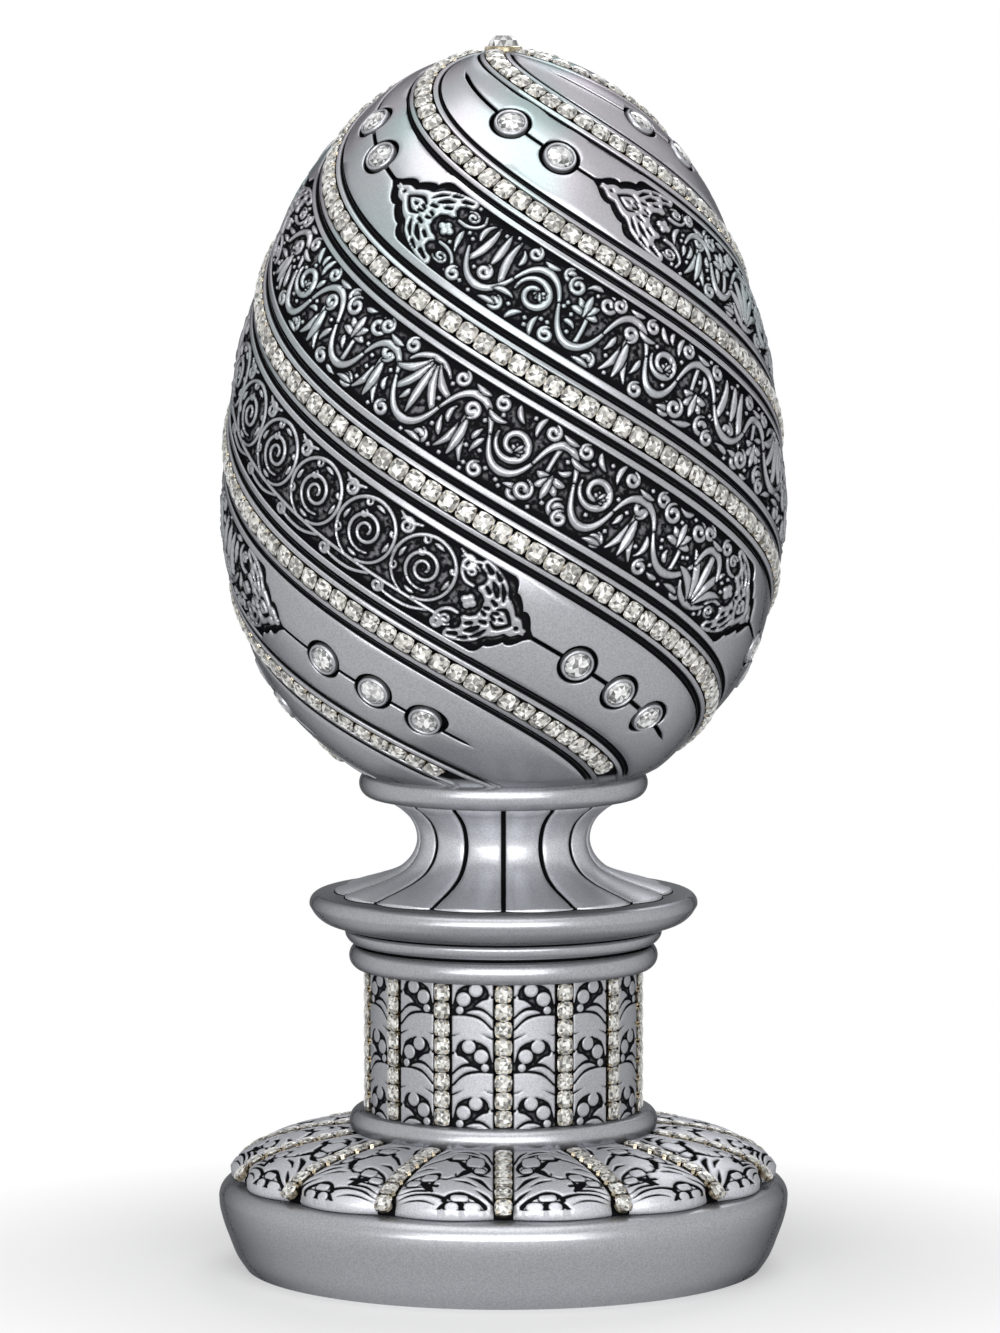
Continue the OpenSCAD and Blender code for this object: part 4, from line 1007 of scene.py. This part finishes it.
# %% Skirt drawing
SKIRT_W, SKIRT_TALL = 13.0, 12.0
SEEN_TILT = radians(9.5)
dome_seen = dome_z * cos(SEEN_TILT) - dome_r * sin(SEEN_TILT)
skirt_sheet = Drawing(SKIRT_W, SKIRT_TALL, cell=0.06)
skirt_sheet.leaf([(-2, -2), (15, -2), (15, 14), (-2, 14)])
for path, radii in (
        ([(8.3, 10.15), (5.76, 10.4), (3.39, 9.99), (1.5, 9.07), (0.67, 8.16), (1.17, 7.17)],
         [0.05, 0.12, 0.2, 0.3, 0.42, 0.1]),
        ([(9.5, 9.45), (8.49, 9.4), (6.41, 8.95), (4.84, 8.2), (3.52, 7.5), (1.86, 6.83), (0.4, 6.75)],
         [0.1, 0.5, 0.22, 0.45, 0.3, 0.3, 0.06]),
        ([(3.7, 7.4), (4.7, 6.95), (5.5, 6.2), (5.9, 6.75)], [0.34, 0.5, 0.2, 0.14]),
        ([(12.94, 4.01), (12.49, 5.42), (11.1, 6.2), (9.46, 6.6), (8.2, 6.42), (8.03, 5.67)],
         [0.06, 0.16, 0.2, 0.14, 0.26, 0.12]),
        ([(10.6, 5.6), (9.9, 4.9), (9.0, 4.2), (8.19, 3.5)], [0.2, 0.42, 0.5, 0.2]),
        ([(9.0, 4.6), (7.75, 4.45)], [0.2, 0.24]), ([(9.0, 4.3), (8.4, 5.4)], [0.35, 0.16]),
        ([(6.3, 2.0), (5.7, 3.0), (4.32, 3.4), (2.92, 2.85), (1.63, 1.9), (1.03, 0.8), (1.25, 0.1)],
         [0.36, 0.18, 0.22, 0.3, 0.34, 0.34, 0.2]),
        ([(5.9, 1.7), (6.4, 1.0), (7.0, 0.45)], [0.26, 0.36, 0.16]), ([(4.1, 1.9), (4.0, 0.2)], [0.36, 0.3]),
        ([(6.0, 0.3), (1.4, 0.3)], [0.3, 0.3]), ([(5.6, 5.5), (3.69, 5.3), (2.3, 4.7)], [0.08, 0.2, 0.08]),
        ([(3.9, 6.3), (1.9, 5.75), (0.3, 4.3)], [0.08, 0.34, 0.12]),
        ([(2.3, 4.1), (0.9, 3.0), (-0.04, 1.6)], [0.08, 0.28, 0.24]),
        ([(7.9, 5.8), (6.9, 5.7), (5.9, 6.1)], [0.12, 0.16, 0.14]),
        ([(12.4, 8.2), (10.8, 8.9), (9.3, 9.2)], [0.16, 0.2, 0.16]),
        ([(12.6, 7.0), (11.4, 7.5), (9.9, 7.5)], [0.1, 0.2, 0.08]),
        ([(9.6, 10.9), (7.6, 11.15), (5.6, 11.1), (3.1, 10.6)], [0.08, 0.2, 0.24, 0.1]),
        ([(12.6, 4.01), (11.25, 4.2), (9.92, 4.25)], [0.1, 0.16, 0.12]),
        ([(12.7, 2.8), (11.09, 3.5), (8.89, 3.6)], [0.08, 0.18, 0.2]),
        ([(12.7, 1.6), (11.31, 2.6), (9.18, 2.95), (7.67, 2.8), (6.21, 2.3)], [0.08, 0.2, 0.18, 0.22, 0.3]),
        ([(12.4, 0.9), (10.6, 1.7), (8.6, 1.7), (7.4, 1.2)], [0.06, 0.16, 0.16, 0.08]),
        ([(3.45, 11.3), (1.23, 10.4), (0.1, 9.2)], [0.08, 0.24, 0.2]), ([(12.4, 10.2), (11.4, 11.1)], [0.2, 0.34])):
    skirt_sheet.stroke(path, radii, cut=True)
BERRIES = [(5.6, 7.8, 9.82, 0.5), (2.4, 4.1, 9.0, 0.82), (1.7, 2.7, 7.6, 0.42), (8.9, 10.1, 5.86, 0.58),
           (10.95, 12.0, 4.9, 0.48), (3.74, 4.96, 2.5, 0.55), (5.1, 5.3, 0.98, 0.74), (2.3, 2.94, 1.04, 0.76)]
for dark_ring, cut in ((0.22, True), (0, False)):
    for start_x, end_x, y, radius in BERRIES:
        skirt_sheet.stroke([(start_x, y), (end_x, y)], [radius + dark_ring] * 2, cut)
print("silver share of a skirt panel:", round(float((skirt_sheet.inside > 0).mean()), 2))

# %% Skirt panels
SKIRT_INNER, SKIRT_ROWS, SKIRT_RELIEF = 50, 118, 0.32
PANEL_CROWN, CROWN_FROM_R, CROWN_FADE = 0.7, 27.5, 8
SCALLOP, SCALLOP_FADE = 1.6, 3.0
SKIRT_LIP = np.array([(0.1, 17.1, 0), (0.0, 16.75, 0), (-0.25, 16.5, 0.3), (-0.6, 16.42, 1)])
skirt_top_way = float(np.interp(27.6, dome_r, dome_way))
skirt_end_way = float(dome_way[-1]) - 1.2
seen_end = float(np.interp(skirt_end_way, dome_way, dome_seen))

def skirt_rule(panel):
    """Rows run from under the bead ring down the dome, and the last few roll under the scalloped edge."""
    def rule(column, row):
        way = skirt_top_way + (skirt_end_way - skirt_top_way) * np.clip(row / (SKIRT_ROWS - 1), 0, 1)
        way_left = skirt_end_way - way
        r_here = np.interp(way, dome_way, dome_r)
        x, angle, in_channel, floor_height, black = across_panel(column, SKIRT_INNER, r_here, panel)
        from_mid = np.abs(2 * x - 1)
        crown = PANEL_CROWN * (1 - from_mid ** 2) * eased((r_here - CROWN_FROM_R) / CROWN_FADE)
        seen = np.interp(way, dome_way, dome_seen) - seen_end
        inside = skirt_sheet.read((1 - x if panel % 2 else x) * SKIRT_W, 0.3 + 1.01 * seen)
        inside = np.maximum(inside, 0.15 - way_left)
        up, hollow = raised(np.minimum(inside, np.minimum(x, 1 - x) * (PANEL_TURN * r_here) - 0.02))
        place = dome_point(way, angle, np.where(in_channel, floor_height, crown - SKIRT_RELIEF + SKIRT_RELIEF * up))
        notch = SCALLOP * np.where(in_channel, 1.0, from_mid ** 2)
        r_place = np.hypot(place[:, 0], place[:, 1])
        pull = eased(1 - way_left / SCALLOP_FADE) * notch * MM
        place[:, :2] *= ((r_place - pull) / r_place)[:, None]
        under = row >= SKIRT_ROWS
        lip = SKIRT_LIP[np.clip(row - SKIRT_ROWS, 0, len(SKIRT_LIP) - 1)]
        low = spot(r_here - notch + lip[:, 0] + np.where(in_channel, 0, crown / 2), angle, lip[:, 1])
        hollow = np.where(in_channel, black, np.where(under, lip[:, 2], hollow))
        return np.where(under[:, None], low, place), hollow
    return rule

skirt_skin = joined_grids("skirt_panels", 2 * len(CHANNEL_EDGE) + SKIRT_INNER, SKIRT_ROWS + len(SKIRT_LIP),
                          map(skirt_rule, range(COLUMNS)), rise=1)
add_piece("skirt_panels", skirt_skin, lit_skirt_silver, "skirt", crease=60)

# %% [markdown]
# ## Carved fields of the egg
# Each band's field runs from one pointed medallion to the other. The medallions are pierced plates inside a black
# border. Between them runs a waving stem of uneven steps. Its hollows hold a scroll, a fan of leaves, tall blades or
# a palmette, and drops and lozenges fill the gaps. The last part of one band has fine wire-like scrolls.
# It is drawn on a sheet whose width stands for the field's, so it grows and shrinks with the band it is laid on.

# %% Field sheet and its length
FIELD_HALF = 8.0
PLATE = FIELD_HALF / FIELD_MOST
field_along = np.linspace(UPPER_TIP, LOWER_TIP, 1200)
stretch_here = field_half((field_along[1:] + field_along[:-1]) / 2) / FIELD_HALF
field_sheet = np.concatenate([[0], np.cumsum(np.diff(field_along) / stretch_here)])
FIELD_LENGTH = float(field_sheet[-1])
print("a field is", round(FIELD_LENGTH, 1), "mm long on its sheet")

# %% Strokes for the fields
BLADE = [0.12, 0.40, 0.60, 0.62, 0.46, 0.1]
DROP = [0.1, 0.27, 0.5, 0.5, 0.18]
DARK_GAP = 0.28

def curl(x, y, start_r, end_r, start, turns, hand=1, count=40):
    """Points of a spiral round x, y that begins at the angle start."""
    share = np.linspace(0, 1, count)
    r = start_r + (end_r - start_r) * share ** 0.85
    t = radians(start) + hand * 2 * pi * turns * share
    return np.stack([x + r * np.cos(t), y + r * np.sin(t)], axis=1)

def bowed(x, y, heading, length, bend):
    """Points of a line that starts at x, y and bends by so many degrees on its way."""
    t = radians(heading) + radians(bend) * np.linspace(-0.5, 0.5, 9)
    paces = np.concatenate([[[0, 0]], np.cumsum(np.stack([np.cos(t), np.sin(t)], axis=1), axis=0)[:-1]])
    return np.array([x, y]) + paces * length / 8

def over(sheet, path, radii):
    """A line that passes over what is there already, with a dark gap on both sides."""
    sheet.stroke(path, [r + DARK_GAP for r in radii], cut=True)
    sheet.stroke(path, radii)

def blade(sheet, x, y, heading, length, bend, fat):
    over(sheet, bowed(x, y, heading, length, bend), [r * fat for r in BLADE])

def palmette(sheet, x, y, heading, size):
    for turn, length, bend in ((-80, 2.2, -60), (-38, 2.8, -35), (38, 2.8, 35), (80, 2.2, 60), (0, 3.4, 0)):
        over(sheet, bowed(x, y, heading + turn, length * size, bend), [r * size for r in DROP])

def lozenge(sheet, x, y, size, lean):
    t = np.radians(lean + np.array([0, 90, 180, 270]))
    sheet.leaf(np.stack([x + size * np.cos(t), y + size * np.sin(t)], axis=1))

# %% Medallion plates
PLATE_EDGE = [
    (12.9, -1), (1.9, -1), (1.9, 0), (2.7, 0.65), (3.4, 1.6), (4.2, 2.45), (5.1, 2.6), (5.7, 2.5), (6.4, 3.4),
    (7.2, 4.2), (8.0, 4.8), (8.7, 5.0), (9.4, 6.0), (10.0, 7.1), (10.9, 7.9), (12.4, 8.8), (14.5, 9.7), (17.0, 10.2),
    (17.6, 9.0), (17.2, 7.4), (15.8, 7.0), (14.9, 6.0), (15.0, 4.9), (15.9, 3.9), (15.4, 2.9), (14.2, 2.6),
    (13.2, 1.7), (12.9, 0)]
PLATE_CUTS = [([(4.3, 0)], [0.42]), ([(5.8, 0), (7.0, 1.35), (8.2, 2.2), (9.7, 1.5)], [0.3, 0.34, 0.38, 0.2]),
              ([(7.6, 0), (8.2, 0.0)], [0.2, 0.36]), ([(9.3, 0.75), (10.2, 0.35)], [0.36, 0.25]),
              ([(11.5, 0.8), (12.2, 0.5)], [0.36, 0.3]), ([(10.6, 2.3), (11.6, 2.6)], [0.42, 0.3]),
              ([(9.6, 3.7), (10.4, 5.4), (11.6, 6.8)], [0.2, 0.44, 0.15]),
              ([(11.2, 3.9), (12.2, 5.2), (13.4, 6.2)], [0.32, 0.6, 0.2]),
              ([(12.4, 7.4), (13.8, 8.3)], [0.42, 0.2]), ([(13.0, 3.9), (13.9, 4.5)], [0.4, 0.34]),
              ([(14.7, 7.8), (16.2, 8.6)], [0.5, 0.3])]

def medallion(sheet, at_end):
    """A pierced plate, a four-lobed leaf behind it, and at each side a cusped arch with a small spiral."""
    def placed(points, side):
        points = np.array(points, dtype=float) * PLATE
        x = FIELD_LENGTH - points[:, 0] if at_end else points[:, 0] * UPPER_STRETCH
        return np.stack([x, FIELD_HALF + side * points[:, 1]], axis=1)
    for side in (-1, 1):
        sheet.leaf(placed(PLATE_EDGE, side), 0.2)
    for side in (-1, 1):
        for path, radii in PLATE_CUTS:
            sheet.stroke(placed(path, side), radii, cut=True)
        sheet.stroke(placed([(16.6, 3.4), (18.4, 3.5), (19.9, 4.6), (20.6, 6.3), (20.1, 8.0)], side),
                     [0.3, 0.36, 0.3, 0.3, 0.22])
        sheet.stroke(placed(curl(18.2, 6.0, 1.5, 0.35, 150, 1.3, -1), side), [0.18, 0.26, 0.3])
    for lobe in ((14.9, 0), (16.7, 0), (15.8, 0.85), (15.8, -0.85)):
        sheet.stroke(placed([lobe], 1), [0.7])

print("a medallion has", 2 * len(PLATE_CUTS), "holes")

# %% [markdown]
# ### Vine, drops and fine scrolls
# A carver lays the stem first, then fills its hollows, and last the bare ground. The script does the same: the stem's
# steps and what each hollow holds are drawn by lot from a fixed start, so every band differs and every run is alike.

# %% What fills a hollow of the stem
def scroll(sheet, middle, low, side, step):
    branch = curl(middle, low, step * 0.4, 1.2, 180 + 10 * side, 1.35, -side, 50)
    over(sheet, branch, [0.2, 0.5, 0.72, 0.5, 0.36])
    palmette(sheet, *branch[-1], -60 * side, 0.55)
    for turn, length in ((-50, 4.0), (-95, 3.4), (-140, 4.0)):
        t = radians(turn * side)
        blade(sheet, middle + 4 * cos(t), low + 4 * sin(t), (turn - 30) * side, length, 60 * side, 0.85)

def fan(sheet, middle, low, side):
    over(sheet, bowed(middle - 4.6, low - side * 3.0, 0, 9.8, 110 * side), [0.2, 0.48, 0.6, 0.48, 0.2])
    for lean, length in ((-56, 6.8), (56, 6.8), (-30, 8.8), (30, 8.8), (0, 9.6)):
        t = radians(90 * side + lean)
        blade(sheet, middle + 1.2 * cos(t), low - side * 5.6 + 1.2 * sin(t), 90 * side + lean, length, lean * 1.1, 1.2)

def tall_blades(sheet, middle, low, side):
    for off, lean, length, bend in ((-2.6, -14, 9.5, 40), (2.6, 12, 10.5, -40), (0.1, 0, 7.0, 15)):
        blade(sheet, middle + off, low - side * 5.4, 90 * side + lean, length, bend * side, 1.25)
    over(sheet, curl(middle, low + side * 3.4, 1.6, 0.5, -90 * side, 1.2, side, 24), [0.16, 0.4, 0.48, 0.48])

def stalked_palmette(sheet, middle, low, side, tall):
    over(sheet, bowed(middle - side * 0.8, FIELD_HALF + side * tall, -92 * side, tall + 1.5, 16), [0.4, 0.34])
    palmette(sheet, middle, low + side * 0.6, -90 * side, 1.25)
    for lean in (-1, 1):
        over(sheet, curl(middle + lean * 3.4, low - side * 4.0, 1.9, 0.6, 90, 1.2, lean * side, 24),
             [0.16, 0.4, 0.46, 0.46])

# %% Waving vine
def vine(sheet, start, end, hand, dice):
    """A waving stem of uneven steps, with a small curl at each side of every hollow and a blade on its crest."""
    x, side, kind = start, hand, dice.randrange(4)
    while x < end - 4:
        step = dice.uniform(7.4, 12.0)
        if end - x - step < 6:
            step = end - x
        tall = dice.uniform(3.8, 5.9)
        low = FIELD_HALF - side
        middle = x + step / 2
        if kind == 0:
            scroll(sheet, middle, low, side, step)
        elif kind == 1:
            fan(sheet, middle, low, side)
        elif kind == 2:
            tall_blades(sheet, middle, low, side)
        else:
            stalked_palmette(sheet, middle, low, side, tall)
        share = np.linspace(0, 1, 24)
        stem = [x + step * share - 0.5 * np.sin(2 * pi * share), FIELD_HALF + side * tall * np.sin(pi * share)]
        over(sheet, np.stack(stem, axis=1), [0.26, 0.5, 0.74, 0.5, 0.26])
        for lean in (-1, 1):
            over(sheet, curl(middle + lean * step * 0.43, FIELD_HALF + side * 6.2, 1.5, 0.5, 90, 1.15, lean * side, 20),
                 [0.16, 0.36, 0.44, 0.44])
        blade(sheet, middle - side * 1.6, FIELD_HALF + side * (tall + 1.5), dice.choice((5, -5)), 3.4, 30 * side, 0.8)
        x, side, kind = x + step, -side, (kind + dice.choice((1, 2, 3))) % 4

# %% Drops between
BARE, RIM_ROOM = 0.36, 0.5

def fill_gaps(sheet, start, end, dice):
    """Drops and lozenges wherever the ground is still bare, the largest first."""
    for length, fat, tries in ((4.4, 1.1, 9), (3.3, 1.0, 10), (2.4, 0.95, 10), (0.0, 0.5, 5)):
        for i in range(int(tries * (end - start))):
            x, y = dice.uniform(start, end), dice.uniform(0.6, 2 * FIELD_HALF - 0.6)
            heading = dice.choice((75, 105, 255, 285, 0, 20, 180, 200)) + dice.uniform(-12, 12)
            path = bowed(x, y, heading, length, dice.choice((-80, -30, 30, 80)))
            if path[:, 1].min() < RIM_ROOM or path[:, 1].max() > 2 * FIELD_HALF - RIM_ROOM:
                continue
            radii = np.interp(np.linspace(0, 1, 9), np.linspace(0, 1, 5), DROP) * fat
            if (-sheet.read(path[:, 0], path[:, 1]) < np.minimum(radii + BARE, REACH - 0.02)).any():
                continue
            if length:
                sheet.stroke(path, radii)
            else:
                lozenge(sheet, x, y, 0.5, dice.uniform(0, 90))

# %% Fine scrolls
PERIOD = 12.6
WIRE = [0.19, 0.3, 0.32, 0.3, 0.24]

def scrolls(sheet, start, end):
    """A row of rings with a spiral in each, drawn with a line as thin as wire."""
    count = max(1, round((end - start) / PERIOD))
    step = (end - start) / count
    for i in range(count):
        x, y = start + (i + 0.5) * step, FIELD_HALF + 0.9
        between = x + step / 2
        for path in (curl(x, y, 6.1, 5.6, 250, 0.93, -1, 70), curl(x, y, 3.9, 0.7, 300, 1.9, -1, 80),
                     [(x - 6.2, 1.5), (x - 3.0, 1.0), (x + 0.5, 1.25), (x + 3.8, 2.5)],
                     curl(between, y + 4.9, 1.55, 0.4, 160, 1.6, -1, 30), curl(between, 1.6, 1.3, 0.4, 90, 1.4, -1, 30),
                     [(between - 2.2, 15.4), (between - 0.2, 14.6), (between + 2.4, 15.2)]):
            sheet.stroke(path, WIRE)
        for t, r in ((200, 5.5), (110, 5.5), (30, 5.5), (120, 3.4)):
            hx, hy = x + r * cos(radians(t)), y + r * sin(radians(t))
            sheet.stroke(curl(hx, hy - 0.5, 0.75, 0.35, 90, 0.75, -1, 12), [0.18, 0.2, 0.34])
        for t in (70, 160, 250, 340):
            sheet.stroke(bowed(x + 4.8 * cos(radians(t)), y + 4.8 * sin(radians(t)), t + 102, 2.0, 24),
                         [0.12, 0.32, 0.36, 0.12])
    sheet.stroke([(start - 1, 2.9), (end, 2.9)], [0.32, 0.3])

# %% One sheet for each band
PLATE_END, PLATE_NECK = 17.5, 14.0
SCROLLED_BAND, SHORT_VINE = 2, 42

def field_drawing(band):
    sheet = Drawing(FIELD_LENGTH, 2 * FIELD_HALF)
    leaves = random.Random(31 + band)
    first, last = PLATE_END * UPPER_STRETCH, FIELD_LENGTH - PLATE_END
    vine_end = first + SHORT_VINE if band == SCROLLED_BAND else last
    for at_end in (False, True):
        medallion(sheet, at_end)
    vine(sheet, first, vine_end, 1 if band % 2 else -1, leaves)
    fill_gaps(sheet, PLATE_NECK * UPPER_STRETCH, vine_end, leaves)
    if band == SCROLLED_BAND:
        scrolls(sheet, vine_end + 1.0, last + 1.0)
    else:
        fill_gaps(sheet, vine_end, FIELD_LENGTH - PLATE_NECK, leaves)
    print("band", band + 1, "has a silver share of", round(float((sheet.inside > 0).mean()), 2))
    return sheet

# %% [markdown]
# ### Laying the fields on the egg
# Each field is a grid as wide as the opening it lies in. Its ground is sunk below the band, and the drawing lifts the
# leaves back up to the band's own swelling curve. Hollow is 1 beside a leaf and rises towards 2 on open ground, where
# the black is rubbed thin, but the narrow trench along the opening's edge stays fully black.

# %% Lay the fields on the egg
FIELD_ROWS, FIELD_COLUMNS = 660, 72
FIELD_DEPTH, UNDER_SKIN = 0.8, 0.25

def field_rule(sheet, band):
    sheet_rows = np.linspace(0, FIELD_LENGTH, FIELD_ROWS)
    lengths = np.interp(sheet_rows, field_sheet, field_along)
    def rule(column, row):
        length = lengths[row]
        way = way_at(length)
        field = field_half(length)
        wide = np.minimum(opening(length), field) + UNDER_SKIN
        across = (2 * column / (FIELD_COLUMNS - 1) - 1) * wide
        inside = sheet.read(sheet_rows[row], FIELD_HALF + across / field * FIELD_HALF) * field / FIELD_HALF
        from_tip = np.minimum(sheet_rows[row] / UPPER_STRETCH, FIELD_LENGTH - sheet_rows[row])
        up, hollow = raised(inside, crown=0.1 + 0.25 * eased((from_tip - 13) / 4))
        plain = 1 - np.abs(across) / (at(way, half_band) - SECTION[-1, 0])
        height = BAND_RISE + swell(way, plain) - FIELD_DEPTH + FIELD_DEPTH * up
        hollow = np.minimum(hollow, 1 + np.clip(wide - np.abs(across) - 1.4, 0, 1))
        return on_band(length, 0, across, height, band), hollow
    return rule

for band in range(BANDS):
    name = f"carved_field_{band + 1}"
    field = bent_grid(name, FIELD_COLUMNS, FIELD_ROWS, field_rule(field_drawing(band), band))
    add_piece(name, field, egg_silver, "egg_shell", crease=75)
